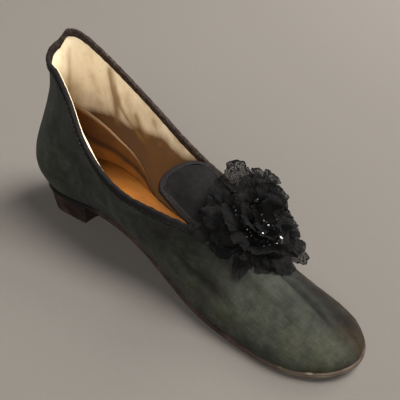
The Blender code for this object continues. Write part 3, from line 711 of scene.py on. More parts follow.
def point_normals(points, quads):
    """Mean of the faces' area vectors at each point, made one long."""
    area = face_areas(points, quads)
    out = np.zeros_like(points)
    for corner in range(4):
        np.add.at(out, quads[:, corner], area)
    return unit(out)


def facing(points, quads, toward):
    """Turns a piece's faces over unless most of their area looks toward, one way or one each."""
    return quads if np.sum(face_areas(points, quads) * toward) > 0.0 else quads[:, ::-1]


def facing_out(points, quads):
    """Turns a shell's faces so that most of them look away from its middle."""
    return facing(points, quads, points[quads[:, ::2]].mean(axis=1) - points.mean(axis=0))


def nearness(points, line, width, taper=0.0):
    """exp(-(d / width)^2) for the distance d to a broken line, eased to 0 over both ends.

    taper is the share of the line's length that each end takes.
    """
    line = np.array(line, float)
    steps = np.linalg.norm(np.diff(line, axis=0), axis=1)
    best = np.full(points.shape[:-1], np.inf)
    reached = np.zeros(points.shape[:-1])
    before = 0.0
    for start, end, step in zip(line[:-1], line[1:], steps):
        run = end - start
        part = np.clip((points - start) @ run / (run @ run), 0.0, 1.0)
        far = np.linalg.norm(points - start - part[..., None] * run, axis=-1)
        reached = np.where(far < best, before + part * step, reached)
        best = np.minimum(best, far)
        before += step
    near = bell(best, 0.0, width)
    if taper:
        near = near * smooth(0.0, taper, np.minimum(reached, before - reached) / before)
    return near


def relief(points, creases, taper):
    """Sum of the creases' heights at each point."""
    return sum(high * nearness(points, line, width, taper) for width, high, line in creases)


def patches(points, table):
    """Largest share of the round patches that reach each point."""
    places = np.array(table)
    far = np.linalg.norm(points[:, None] - places[None, :, :3], axis=2)
    return np.max(places[:, 4] * bell(far, 0.0, places[:, 3]), axis=1)


def shades_of(points, table):
    """Largest share of the lines that reach each point."""
    return np.max(
        [share * nearness(points, line, width, LINE_TAPER) for width, share, line in table],
        axis=0)


def swell(points, height, waves, seed):
    """Height times the mean of bent sine waves in space; waves gives lengths in x, y and z."""
    draw = np.random.default_rng(seed)
    total = np.zeros(points.shape[:-1])
    for lengths in waves:
        first, second = draw.uniform(0.0, ROUND, 2)
        turn = ROUND * (points / np.array(lengths))
        total += np.sin(turn[..., 0] + turn[..., 1] + turn[..., 2] + first
                        + 0.8 * np.sin(0.6 * turn[..., 0] - turn[..., 2] + second))
    return height * (total / len(waves))


def swept(path, out, up, profile, run, around):
    """A closed profile of (out, up) points carried along a path, with closed ends, and its UV.

    A point is path + out * profile_out + up * profile_up.  UV is the run along the path and the
    way around the profile, which folds back on itself.
    """
    grid = path[:, None] + out[:, None] * profile[:, :1] + up[:, None] * profile[:, 1:]
    count, size = grid.shape[:2]
    points = grid.reshape(-1, 3)
    quads = np.vstack([
        grid_quads(count, size, ring=True), ring_caps(size, 1, (count - 1) * size)])
    uv = np.column_stack([np.repeat(run, size), np.tile(around, count)])
    return points, facing_out(points, quads), uv


def make_piece(name, points, quads, looks, uv=None, fields=None, wall=0.0,
               stands_for=None, facets=False):
    """One mesh object at the origin, riding on the shoe, from points in the shoe's own sizes.

    looks names its finishes, the last one for the back of a sheet; uv is in millimetres; fields
    are numbers, per point or for all, that a finish reads; wall is the thickness that a sheet
    gets behind its face; stands_for is the frame's solid that it replaces.
    """
    points = points.reshape(-1, 3)
    mesh = bpy.data.meshes.new(name)
    mesh.from_pydata(((points + SHIFT) * MM).tolist(), [], quads.tolist())
    mesh.polygons.foreach_set("use_smooth", np.full(len(mesh.polygons), not facets))
    if uv is not None:
        layer = mesh.uv_layers.new(name="UVMap")
        corner = np.zeros(len(mesh.loops), dtype=np.int32)
        mesh.loops.foreach_get("vertex_index", corner)
        layer.data.foreach_set("uv", (uv * MM)[corner].astype(np.float32).ravel())
    for key, values in (fields or {}).items():
        made = mesh.attributes.new(key, "FLOAT", "POINT")
        made.data.foreach_set("value", np.full(len(points), np.ravel(values), np.float32))
    for look in looks:
        mesh.materials.append(finish(look))
    mesh.update()
    piece = bpy.data.objects.new(name, mesh)
    bpy.context.scene.collection.objects.link(piece)
    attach(piece, BODY)
    if wall:
        solid = piece.modifiers.new("thickness", "SOLIDIFY")
        solid.thickness = wall * MM
        solid.offset = -1.0
        solid.use_even_offset = True
        solid.material_offset = len(looks) - 1
        solid.material_offset_rim = 0
    if stands_for:
        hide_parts(stands_for)
    return piece


def mend_normals(piece):
    """Drops doubled corners and turns a closed piece's faces outward."""
    work = bmesh.new()
    work.from_mesh(piece.data)
    bmesh.ops.dissolve_degenerate(work, dist=1e-7, edges=work.edges)
    bmesh.ops.recalc_face_normals(work, faces=work.faces)
    work.to_mesh(piece.data)
    work.free()


class Finish:
    """One material's nodes, with short calls for the nodes that the finishes share.

    tone and normal are the colour and the bumped normal as laid so far.
    """

    def __init__(self, name, sockets):
        self.material = bpy.data.materials.new(name)
        self.material.use_nodes = True
        self.tree = self.material.node_tree
        self.tone = self.normal = None
        self.put(self.tree.nodes["Principled BSDF"], sockets)

    def put(self, node, sockets):
        """Links sockets to the node's inputs and sets plain values."""
        for key, value in sockets.items():
            if isinstance(value, bpy.types.NodeSocket):
                self.tree.links.new(value, node.inputs[key])
            else:
                node.inputs[key].default_value = value

    def add(self, kind, output, sockets, **settings):
        """A new node with its settings and inputs; gives the output that is asked for."""
        node = self.tree.nodes.new("ShaderNode" + kind)
        for key, value in settings.items():
            setattr(node, key, value)
        self.put(node, sockets)
        return node.outputs[output]

    def where(self, source, stretch=(1, 1, 1), turn=0.0):
        """Texture coordinates, stretched and turned about z."""
        place = self.add("TexCoord", source, {})
        sockets = {"Vector": place, "Scale": stretch, "Rotation": (0, 0, turn)}
        return self.add("Mapping", "Vector", sockets)

    def noise(self, size, detail, rough=0.55, source="Object", stretch=(1, 1, 1)):
        """Noise whose largest features are about size millimetres."""
        return self.add("TexNoise", "Fac", {
            "Vector": self.where(source, stretch), "Scale": 1.0 / (size * MM),
            "Detail": detail, "Roughness": rough})

    def cells(self, size, feature="F1", source="Object"):
        """Distance within cells of about size millimetres."""
        sockets = {"Vector": self.where(source), "Scale": 1.0 / (size * MM)}
        return self.add("TexVoronoi", "Distance", sockets, feature=feature)

    def bands(self, size, direction, wobble, turn=0.0):
        """Waves on the UV map, one every size millimetres."""
        return self.add("TexWave", "Fac", {
            "Vector": self.where("UV", turn=turn), "Scale": BAND_SCALE / (size * MM),
            "Distortion": wobble}, bands_direction=direction)

    def field(self, name):
        """Values of one of the mesh's own attributes."""
        return self.add("Attribute", "Fac", {}, attribute_name=name)

    def math(self, operation, first, second, clamp=False):
        """Result of a Math node."""
        return self.add(
            "Math", 0, {0: first, 1: second}, operation=operation, use_clamp=clamp)

    def times(self, first, second, clamp=False):
        """Product of two values."""
        return self.math("MULTIPLY", first, second, clamp)

    def spread(self, value, low, high, to_low=0.0, to_high=1.0):
        """Value brought from the range low to high to a new range, and held in it."""
        return self.add("MapRange", "Result", {
            "Value": value, "From Min": low, "From Max": high, "To Min": to_low,
            "To Max": to_high})

    def mix(self, share, first, second, kind="MIX"):
        """Share of the second colour in the first; plain colours get their alpha here."""
        first, second = (
            v if isinstance(v, bpy.types.NodeSocket) else (*v, 1.0) for v in (first, second))
        return self.add(
            "Mix", 2, {0: share, 6: first, 7: second}, data_type="RGBA", blend_type=kind)

    def over(self, share, colour):
        """Lays a share of a colour over the tone."""
        self.tone = self.mix(share, self.tone, colour)

    def press(self, height, depth, strength):
        """Presses a height of depth millimetres into the normal."""
        sockets = {"Height": height, "Distance": depth * MM, "Strength": strength}
        if self.normal is not None:
            sockets["Normal"] = self.normal
        self.normal = self.add("Bump", "Normal", sockets)

    def done(self, rough=None, cover=None):
        """Links what was laid to the shader."""
        ends = {"Base Color": self.tone, "Roughness": rough, "Normal": self.normal, "Alpha": cover}
        self.put(self.tree.nodes["Principled BSDF"],
                 {key: end for key, end in ends.items() if end is not None})


def worn_satin(look, shades, black, slate):
    """Worn black satin: fine slanting floats, slubs across, sunned and rubbed places, painted
    light and shade.
    """
    streak = look.noise(1.1, 4, source="UV", stretch=(0.08, 1, 1))
    weft = look.noise(0.9, 3, source="UV", stretch=(1, 0.1, 1))
    cloud = look.noise(22, 4)
    spot = look.noise(5, 3, 0.6)
    rub = look.field("rub")
    fade = look.times(look.field("fade"), look.spread(cloud, 0.25, 0.75, 0.65, 1.15))
    ground = (getattr(shades, name) for name in (black, slate))
    look.tone = look.mix(look.spread(cloud, 0.35, 0.7), *ground)
    # olive of sunned cloth, laid also as painted light on the near side
    look.over(fade, shades.satin_sunned_and_lit)
    look.over(look.times(rub, look.spread(streak, 0.3, 0.62, 0.6, 1), True), shades.satin_rubbed)
    look.over(look.times(rub, look.spread(streak, 0.5, 0.6, 0, 0.8)), shades.blacking_and_shade)
    # painted shade in the creases and shaded places of SATIN_PAINTED_SHADE
    look.over(look.field("dark"), shades.blacking_and_shade)
    shade = look.times(
        look.spread(streak, 0.3, 0.7, 0.76, 1.22), look.spread(weft, 0.3, 0.7, 0.9, 1.1))
    shade = look.times(shade, look.spread(spot, 0.3, 0.75, 0.68, 1.28))
    look.tone = look.mix(1.0, look.tone, shade, "MULTIPLY")
    lint = look.spread(look.noise(0.9, 2), 0.7, 0.8)
    look.over(look.times(lint, look.field("dust")), shades.dust)
    dull = look.math("ADD", look.times(fade, 0.08), look.times(rub, 0.28))
    look.press(look.bands(0.42, "X", 0.6, turn=0.42), 0.03, 0.5)
    look.press(streak, 0.12, 0.55)
    look.press(look.noise(7, 3, source="UV"), 0.55, 0.6)
    look.done(look.math("ADD", look.spread(cloud, 0.3, 0.7, 0.6, 0.7), dull, True))


def cream_linen(look, shades):
    """Cream plain-weave linen, brown towards the foot in stain and painted shade."""
    stain = look.noise(11, 4, stretch=(1, 1, 0.55))
    soil = look.math(
        "ADD", look.times(look.field("soil"), 1.15), look.spread(stain, 0.3, 0.8, -0.2, 0.2), True)
    look.tone = look.mix(look.spread(stain, 0.38, 0.75), shades.linen, shades.linen_aged)
    # brown towards the foot: partly stain, partly painted shade
    look.over(soil, shades.linen_soiled)
    # painted shade, with brown stain, in the troughs of the lining's folds
    look.over(look.times(look.field("fold"), 0.8, True), shades.linen_fold)
    look.over(look.spread(look.noise(2.2, 3), 0.62, 0.8, 0, 0.35), shades.linen_fold)
    weave = look.times(look.bands(0.7, "X", 0.8), look.bands(0.7, "Y", 0.8))
    look.over(look.spread(weave, 0, 1, 0.09, 0), shades.linen_fold)
    look.press(weave, 0.08, 0.6)
    look.press(look.noise(6, 3), 0.5, 0.5)
    look.done()


def tan_leather(look, shades):
    """Rubbed tan sock leather with dark handling stains and a fine pebble, painted shade and a
    painted highlight.
    """
    patch = look.noise(9, 4, stretch=(0.45, 1, 1))
    streak = look.noise(2.4, 4, stretch=(0.12, 1, 1))
    dark = look.math("ADD", look.field("soil"), look.spread(patch, 0.35, 0.75, -0.2, 0.3), True)
    look.tone = look.mix(
        look.spread(look.noise(30, 3), 0.35, 0.68), shades.tan, shades.tan_pale)
    look.over(dark, shades.tan_stained)
    look.over(look.spread(streak, 0.55, 0.75, 0, 0.5), shades.tan_stained)
    # painted shadow line where the heel lining meets the insole
    look.over(look.field("grime"), shades.sole)
    # painted highlight along the heel lining's top edge
    look.over(look.field("rim"), shades.linen_aged)
    look.press(look.cells(1), 0.12, 0.5)
    look.press(streak, 0.15, 0.4)
    look.done(look.spread(patch, 0.3, 0.7, 0.42, 0.62))


def trimmed_sole(look, shades):
    """Brown sole leather: fibrous trimmed edge, blacked at the heel, scuffed underneath, with
    chips and painted glints.
    """
    fibre = look.noise(0.5, 4, stretch=(0.1, 0.1, 1))
    scuff = look.noise(3, 5, 0.65, stretch=(0.25, 1, 1))
    look.tone = look.mix(
        look.spread(look.noise(14, 4), 0.35, 0.7), shades.sole, shades.sole_pale)
    look.over(look.spread(fibre, 0.4, 0.7, 0, 0.5), shades.sole_dark)
    look.over(look.times(look.field("under"), look.spread(scuff, 0.42, 0.7)), shades.sole_scuffed)
    look.over(look.field("ink"), shades.blacking_and_shade)
    look.over(look.field("channel"), shades.sole_dark)
    # pale chips, painted glints and broad painted highlights on the sole's edge
    look.over(look.field("chip"), shades.linen)
    look.press(fibre, 0.1, 0.6)
    look.press(scuff, 0.25, 0.5)
    look.done(look.spread(scuff, 0.3, 0.7, 0.68, 0.88))


def waxed_heel(look, shades):
    """Dark stacked heel leather, waxed and rubbed, with faint lifts and painted shade towards the
    breast.
    """
    fibre = look.noise(0.6, 4, stretch=(0.12, 0.12, 1))
    cloud = look.noise(9, 4)
    look.tone = look.mix(look.spread(cloud, 0.3, 0.72), shades.heel, shades.heel_rubbed)
    look.over(look.spread(fibre, 0.45, 0.72, 0, 0.55), shades.blacking_and_shade)
    # painted shade towards the breast, under the arch
    look.over(look.field("front"), shades.blacking_and_shade)
    look.over(look.field("joint"), shades.blacking_and_shade)
    look.press(fibre, 0.12, 0.5)
    look.press(cloud, 0.3, 0.4)
    look.done(look.spread(cloud, 0.3, 0.7, 0.55, 0.75))


def binding_ribbon(look, shades):
    """Ribbed purple-black binding ribbon, gone brown and rubbed on the sunned side."""
    rib = look.bands(1, "X", 0.5)
    cloud = look.noise(8, 4)
    speck = look.noise(1.4, 3, 0.65)
    sunned = look.field("sunned")
    aged = look.times(sunned, look.spread(cloud, 0.3, 0.6, 0.6, 1))
    look.tone = look.mix(aged, shades.ribbon, shades.ribbon_brown)
    look.over(look.spread(rib, 0, 0.5, 0.5, 0), shades.blacking_and_shade)
    rubbed = look.times(look.spread(speck, 0.5, 0.64, 0, 0.8), look.spread(sunned, 0, 1, 0.08, 1))
    look.over(rubbed, shades.ribbon_rubbed)
    look.over(look.times(look.field("worn"), look.spread(speck, 0.42, 0.58)), shades.linen_aged)
    look.press(rib, 0.12, 0.8)
    look.press(speck, 0.2, 0.5)
    look.done(look.spread(cloud, 0.3, 0.7, 0.62, 0.8))


def black_net(look, shades):
    """Black cotton net: fine round meshes of thin thread, closer along the lace edge."""
    edge = look.field("lace")
    thread = look.spread(look.cells(0.62, "DISTANCE_TO_EDGE", "UV"), 0.12, 0.24, 1, 0)
    sprig = look.spread(look.noise(3.2, 2, source="UV"), 0.5, 0.56)
    lace = look.times(sprig, look.spread(edge, 0.72, 0.86))
    hem = look.spread(edge, 0.96, 0.98)
    solid = look.math("MAXIMUM", look.math("MAXIMUM", thread, lace), hem)
    cover = look.math("MAXIMUM", solid, look.spread(edge, 0.45, 0.97, 0.96, 0.42))
    rust = look.spread(look.noise(7, 3), 0.45, 0.75)
    look.tone = look.mix(rust, shades.net, shades.net_rusty)
    look.press(solid, 0.1, 0.5)
    look.done(cover=cover)


def jet_glass(look, shades, dull):
    """Polished black glass with a little dust in the facets."""
    dust = look.noise(1.6, 2)
    look.tone = look.mix(look.spread(dust, 0.55, 0.8, 0, 0.25), shades.jet, shades.ribbon_rubbed)
    look.done(look.spread(dust, 0.4, 0.8, dull, dull + 0.25))


def sewing_thread(look, shades):
    """Dark twisted sewing thread."""
    twist = look.noise(0.8, 2)
    look.tone = look.mix(
        look.spread(twist, 0.35, 0.65, 0, 0.12), shades.blacking_and_shade, shades.ribbon_rubbed)
    look.over(look.field("pale"), shades.linen_aged)
    look.press(twist, 0.05, 0.5)
    look.done()


def floor_paper(look, shades):
    """Pale matt paper with a barely visible tooth."""
    tooth = look.noise(2.5, 3)
    look.tone = look.mix(look.spread(tooth, 0.3, 0.7, 0, 0.06), shades.floor, shades.linen_soiled)
    look.press(tooth, 0.05, 0.2)
    look.done()


GLOSS = "Specular IOR Level"
# Finishes: how each is laid, what it is told, and the shader's sockets that are the same all over
FINISHES = {
    "worn_satin": (worn_satin, ("satin", "satin_slate"), {
        GLOSS: 0.1, "Sheen Weight": 0.02, "Sheen Roughness": 0.45}),
    "tongue_satin": (worn_satin, ("tongue", "tongue_slate"), {
        GLOSS: 0.05, "Sheen Weight": 0.02, "Sheen Roughness": 0.45}),
    "cream_linen": (cream_linen, (), {
        GLOSS: 0.15, "Sheen Weight": 0.05, "Sheen Roughness": 0.6, "Roughness": 0.88}),
    "tan_leather": (tan_leather, (), {GLOSS: 0.15}),
    "trimmed_sole": (trimmed_sole, (), {GLOSS: 0.12}),
    "waxed_heel": (waxed_heel, (), {GLOSS: 0.14}),
    "binding_ribbon": (binding_ribbon, (), {GLOSS: 0.08}),
    "black_net": (black_net, (), {GLOSS: 0.05, "Roughness": 0.85}),
    "dull_jet": (jet_glass, (0.24,), {GLOSS: 0.26, "Coat Weight": 0, "Coat Roughness": 0.05}),
    "cut_jet": (jet_glass, (0.08,), {GLOSS: 0.9, "Coat Weight": 1, "Coat Roughness": 0.05}),
    "sewing_thread": (sewing_thread, (), {GLOSS: 0.3, "Roughness": 0.7}),
    "pale_floor": (floor_paper, (), {GLOSS: 0.15, "Roughness": 0.9}),
}


def finish(name):
    """The named material, made on its first use."""
    if name not in bpy.data.materials:
        lay, told, sockets = FINISHES[name]
        lay(Finish(name, sockets), colours(), *told)
    return bpy.data.materials[name]


def tint(name, description, *value):
    """Colour property, with linear red, green and blue."""
    return FloatVectorProperty(
        name=name, description=description, default=value, subtype="COLOR", size=3, min=0, max=1)


def measure(name, description, value, low, high, **more):
    """Number property with its default and its limits."""
    return FloatProperty(
        name=name, description=description, default=value, min=low, max=high, **more)


class SlipperColours(bpy.types.PropertyGroup):
    """Colours of the slipper's cloths, leathers, net and stage."""

    satin: tint("Satin", "Black of the unworn satin", 0.0142, 0.0155, 0.0140)
    satin_slate: tint("Satin slate", "Slate cast of the satin", 0.0335, 0.0364, 0.0322)
    # Olive of sunned cloth, also laid as painted light on the near side of the upper
    satin_sunned_and_lit: tint("Satin sunned", "Olive of the sunned satin", 0.0430, 0.0460, 0.0290)
    satin_rubbed: tint("Satin rubbed", "Brown under the rubbed face", 0.0270, 0.0150, 0.0045)
    tongue: tint("Tongue satin", "Black of the tongue", 0.0064, 0.0061, 0.0058)
    tongue_slate: tint("Tongue slate", "Slate cast of the tongue", 0.0076, 0.0068, 0.0070)
    dust: tint("Dust", "Lint and dust", 0.1600, 0.1500, 0.1300)
    ribbon: tint("Ribbon", "Purple-black of the binding", 0.0088, 0.0082, 0.0086)
    ribbon_brown: tint("Ribbon brown", "Brown of the aged binding", 0.0250, 0.0150, 0.0110)
    ribbon_rubbed: tint("Ribbon rubbed", "Grey of its rubbed ribs", 0.0750, 0.0550, 0.0450)
    linen: tint("Linen", "Cream of the lining", 0.9000, 0.7900, 0.5700)
    linen_aged: tint("Linen aged", "Yellowed linen", 0.8300, 0.6700, 0.4300)
    linen_fold: tint("Linen fold", "Brown in the lining's folds", 0.2100, 0.1130, 0.0240)
    # Brown of the linen towards the foot, partly stain and partly painted shade
    linen_soiled: tint("Linen soiled", "Brown towards the foot", 0.1150, 0.0540, 0.0180)
    tan: tint("Tan leather", "Sock leather", 0.3000, 0.1050, 0.0165)
    tan_pale: tint("Tan pale", "Rubbed sock leather", 0.3700, 0.1380, 0.0240)
    tan_stained: tint("Tan stained", "Stains in the sock leather", 0.1400, 0.0610, 0.0200)
    sole: tint("Sole leather", "Edge of the sole", 0.0260, 0.0165, 0.0125)
    sole_pale: tint("Sole pale", "Rubbed edge of the sole", 0.0800, 0.0540, 0.0410)
    sole_dark: tint("Sole dark", "Dark fibres and the sewn channel", 0.0110, 0.0070, 0.0058)
    sole_scuffed: tint("Sole scuffed", "Scuffs under the sole", 0.2300, 0.1700, 0.1150)
    heel: tint("Heel leather", "Dark heel leather", 0.0122, 0.0068, 0.0052)
    heel_rubbed: tint("Heel rubbed", "Rubbed heel leather", 0.0600, 0.0370, 0.0290)
    # Colour of edge blacking and thread, also laid as painted shade on the satin and the heel's
    # breast
    blacking_and_shade: tint("Blacking", "Edge blacking and thread", 0.0060, 0.0052, 0.0050)
    net: tint("Net", "Black net", 0.0064, 0.0064, 0.0067)
    net_rusty: tint("Net rusty", "Net gone brown with age", 0.0105, 0.0092, 0.0084)
    jet: tint("Jet", "Bead glass", 0.0030, 0.0030, 0.0034)
    floor: tint("Floor", "Floor paper", 0.1470, 0.1365, 0.1240)


class SlipperSizes(bpy.types.PropertyGroup):
    """Sizes, in millimetres, and amounts that shape the slipper's soft pieces."""

    satin_thick: measure("Satin", "Thickness of the satin, mm", 0.8, 0.2, 1.4)
    linen_thick: measure("Linen", "Thickness of the lining, mm", 0.5, 0.2, 0.8)
    crease_depth: measure(
        "Creases", "Depth of the satin's creases, of their table", 1, 0, 2, subtype="FACTOR")
    linen_depth: measure(
        "Lining creases", "Depth of the lining's creases", 1, 0, 2, subtype="FACTOR")
    ribbon_depth: measure("Ribbon", "Depth of the binding, mm", 3.7, 2, 6)
    stitch_step: measure("Stitch", "Step of the stitches, mm", 2.9, 1.5, 6)
    ruffle_scale: measure(
        "Ruffles", "Reach of the rosette's tiers, of their table", 1, 0.7, 1.1, subtype="FACTOR")
    bead_radius: measure("Bead", "Radius of a bead, mm", 0.75, 0.5, 2)
    light_power: measure("Lights", "Share of the lights' power", 1, 0, 4)
    studio_light: measure("Studio", "Even light of the studio", 0.02, 0, 1)
    seed: IntProperty(name="Seed", description="Seed of the irregular pleats", default=7, min=0)


def sizes():
    """The slipper's sizes in this scene."""
    return bpy.context.scene.slipper_sizes


def colours():
    """The slipper's colours in this scene."""
    return bpy.context.scene.slipper_colours


def outer_skin(quarter_count, vamp_count, wall_rows, crown_rows):
    """Outer skin of the whole upper: points, faces, and lengths along, across and up per point.

    Over the toe the grain runs straight: along is x, and across is the way from the middle line
    plus the drop under the crown on the steep sides.
    """
    quarter, run = quarter_grid(quarter_count, wall_rows)
    up = run_of(quarter)
    quarter_lengths = np.stack([np.broadcast_to(run[:, None], up.shape), up, up], axis=-1)
    vamp, run = vamp_grid(vamp_count, wall_rows, crown_rows)
    up = run_of(vamp)
    up = np.minimum(up, up[:, -1:] - up)
    x, y, z = np.moveaxis(vamp, -1, 0)
    toe = smooth(*STRAIGHT_GRAIN, x)
    steep = np.abs(grid_normals(vamp, UP)[..., 1])
    wide = GRAIN_START - np.abs(y - eased(SWING, x)) - steep * (VAMP[0, 3] - z)
    along = np.broadcast_to(run[:, None], up.shape)
    along = along + (run[0] + x - x[0, 0] - along) * toe
    vamp_lengths = np.stack([along, up + (wide - up) * toe, up], axis=-1)
    points, quads, lengths = joined([
        (quarter, grid_quads(*quarter.shape[:2]), quarter_lengths),
        (vamp, grid_quads(*vamp.shape[:2])[:, ::-1], vamp_lengths)])
    return points, facing_out(points, quads), lengths


def creased_skin(*counts):
    """The outer skin pressed in and out along its normals by the satin's creases and ripples."""
    points, quads, lengths = outer_skin(*counts)
    lift = sizes().crease_depth * relief(points, SATIN_CREASES, LINE_TAPER)
    for ripple in SATIN_RIPPLES:
        lift += swell(points, *ripple)
    lift *= smooth(0.0, SATIN_HOLD, lengths[:, 2])
    return points + point_normals(points, quads) * lift[:, None], quads, lengths


class SLIPPER_OT_upper(bpy.types.Operator):
    """Satin of the upper: the frame's outer skin with creases, soft ripples, worn places, painted
    light and shade.
    """

    bl_idname = "slipper.make_upper"
    bl_label = "Satin upper"

    def execute(self, context):
        points, quads, lengths = creased_skin(*SATIN_GRID)
        fields = {
            "fade": patches(points, SATIN_FADES_AND_PAINTED_LIGHT),
            "rub": patches(points, SATIN_RUBS),
            # dark: painted shade in creases and shaded places
            "dark": shades_of(points, SATIN_PAINTED_SHADE),
            "dust": DUST_LEAST + (1.0 - DUST_LEAST) * smooth(*DUST_HEIGHTS, points[:, 2]),
        }
        make_piece(
            "satin_upper", points, quads, ["worn_satin"], lengths[:, :2], fields,
            wall=sizes().satin_thick, stands_for="upper")
        return {"FINISHED"}


def rim_frame(count, rows, normal_row, low_row):
    """Top edge of both quarters and its directions out and up, read from those rows below it."""
    grid, _ = quarter_grid(count, rows)
    normal = grid_normals(grid, BACKWARD)
    return grid[:, -1], normal[:, normal_row], unit(grid[:, -1] - grid[:, low_row])


class SLIPPER_OT_lining(bpy.types.Operator):
    """Linen lining on the wall's inner face, its lip at the rim and the leather heel lining."""

    bl_idname = "slipper.make_lining"
    bl_label = "Lining"

    def execute(self, context):
        self.linen()
        self.lip()
        self.heel_lining()
        return {"FINISHED"}

    def linen(self):
        """The creased skin moved in by the wall, pushed by its own folds, less near its foot."""
        points, quads, lengths = creased_skin(*LINEN_GRID)
        normal = point_normals(points, quads)
        folds = relief(points - normal * WALL, LINEN_CREASES, LINEN_TAPER)
        push = sizes().linen_depth * folds
        push += swell(points, *LINEN_RIPPLE)
        hold = smooth(0.0, LINEN_HOLD, lengths[:, 2])
        deep = WALL - LINEN_GAP - np.minimum(push * hold, LINEN_MOST)
        inner = points - normal * deep[:, None]
        throat, _ = vamp_grid(1, 1, 8)
        inner[:, 0] += LINEN_TUCK * nearness(points, throat[0, 1:-1], LINEN_TUCK)
        # brown below a wavy line over the insole and more towards the foot: partly stain, partly
        # painted shade
        above = inner[:, 2] - (sole_over(inner[:, 0]) + INSOLE_THICK)
        stain = STAIN_SHADE_HEIGHT
        for high, long in STAIN_SHADE_WAVES:
            stain = stain + high * np.sin(inner[:, 0] / long)
        over, under = STAIN_SHADE_BLUR
        share, *heights = LINEN_LOW_BROWNING
        soil = smooth(stain + over, stain - under, above) + share * smooth(*heights, above)
        fields = {"soil": soil, "fold": np.clip(-FOLD_SHADE * folds, 0.0, 1.0)}
        make_piece(
            "linen_lining", inner, quads[:, ::-1], ["cream_linen"], lengths[:, :2],
            fields, sizes().linen_thick)

    def lip(self):
        """Turned edge of the lining over the ribbon: a thin round-topped strip, right rim."""
        rim, out, up = rim_frame(132, 40, -1, -3)
        low, high = LIP_ENDS
        keep = (rim[:, 1] < 0.0) & (rim[:, 0] > low) & (rim[:, 0] < high)
        rim, out, up = rim[keep], out[keep], up[keep]
        x = rim[:, 0]
        turn = np.linspace(0.0, ROUND, 11)[:-1]
        thin, more, middle, breadth = LIP_WIDTH
        fat = thin + more * bell(x, middle, breadth)
        fat *= 1.0 - 0.5 * smooth(LIP_NARROWS, high, x)
        tall = smooth(*LIP_RISE, x) * smooth(*LIP_FALL, x)
        rise, sunk = LIP_HEIGHT
        path = rim - out * (WALL + LINING_DEPTH) + up * (rise * fat - sunk)[:, None]
        drop = sizes().ribbon_depth + LIP_BELOW
        level = LIP_ROUND * np.sin(turn) - drop * (np.sin(turn) < -0.1)
        points, quads, uv = swept(
            path, out * fat[:, None], up * tall[:, None], np.column_stack([np.cos(turn), level]),
            np.arange(len(path)) * LIP_STEP, turn)
        make_piece(
            "lining_lip", points, quads, ["cream_linen"], uv, {"soil": 0, "fold": 0})

    def heel_lining(self):
        """Leather sheet inside the heel, from the insole up to a sloping edge, with a painted
        highlight and shadow line.
        """
        place, run = foot_stations(0.0, THROAT, 132)
        part = (run - run[0]) / (run[-1] - run[0])
        used = part <= HEEL_GRIP[-1, 0]
        place, part = place[used], part[used]
        rows = 25
        shares = np.linspace(GRIP_FOOT, 1.0, rows) * eased(HEEL_GRIP, part)[:, None]
        grid = both_ways(*(placed(at_shares(wall_controls(place, s), shares), s) for s in SIDES))
        normal = grid_normals(grid, BACKWARD)
        grid = grid - normal * (WALL + LINING_DEPTH)
        behind = both_ways(part, part)[:, None]
        # painted highlight along the top edge, fading towards the front
        pale = smooth(*GRIP_HIGHLIGHT, np.linspace(0.0, 1.0, rows)) * smooth(*GRIP_BEHIND, behind)
        line = shares - eased(GRIP_SHADOW_LINE, part)[:, None]
        line = both_ways(line, line)
        most, cleaned, paled = GRIP_SOIL
        clean = smooth(0.0, -SHADOW_LINE_BLUR, line)
        # soil, a painted shadow line at the join with the insole, and a painted highlight on the
        # top edge
        fields = {
            "soil": most - cleaned * clean - paled * pale,
            "grime": SHADOW_LINE_SHARE * bell(line, 0.0, SHADOW_LINE_BREADTH),
            "rim": HIGHLIGHT_SHARE * pale,
        }
        points = grid.reshape(-1, 3)
        quads = grid_quads(*grid.shape[:2])
        quads = facing(points, quads, -normal.reshape(-1, 3)[quads[:, 0]])
        make_piece(
            "heel_lining", points, quads, ["tan_leather"], points[:, :2],
            fields, GRIP_THICK)


class SLIPPER_OT_insole(bpy.types.Operator):
    """Sock leather on the insole, pressed down under heel and ball, its edge a little raised."""

    bl_idname = "slipper.make_insole"
    bl_label = "Insole"

    def execute(self, context):
        across = np.linspace(-1.0, 1.0, 33)
        grid = rungs(foot_edge(WALL + INSOLE_GAP, INSOLE_COLUMNS), across)
        x, y = grid[..., 0], grid[..., 1]
        lift = INSOLE_EDGE * np.abs(across) ** 8
        for deep, middle, long, wide in INSOLE_DENTS:
            lift = lift - deep * np.exp(-(((x - middle) / long) ** 2 + (y / wide) ** 2))
        lift = lift + swell(grid, *INSOLE_RIPPLE)
        grid[..., 2] = sole_over(x) + INSOLE_THICK + lift
        grid = swung(grid)
        least, back, sides = SOCK_SOIL_AND_SHADE
        # soil all over and at the back, painted shade towards the sides where the sock meets the
        # walls
        soil = least + back * smooth(*SOCK_BACK, x) + sides * np.abs(across) ** 4
        soil = np.clip(soil, 0.0, 1.0)
        points, quads, soil = welded(
            grid.reshape(-1, 3), grid_quads(*grid.shape[:2]), soil.ravel())
        make_piece(
            "sock_insole", points, facing(points, quads, UP), ["tan_leather"],
            points[:, :2], {"soil": soil, "grime": 0, "rim": 0}, SOCK_THICK,
            stands_for="insole")
        return {"FINISHED"}


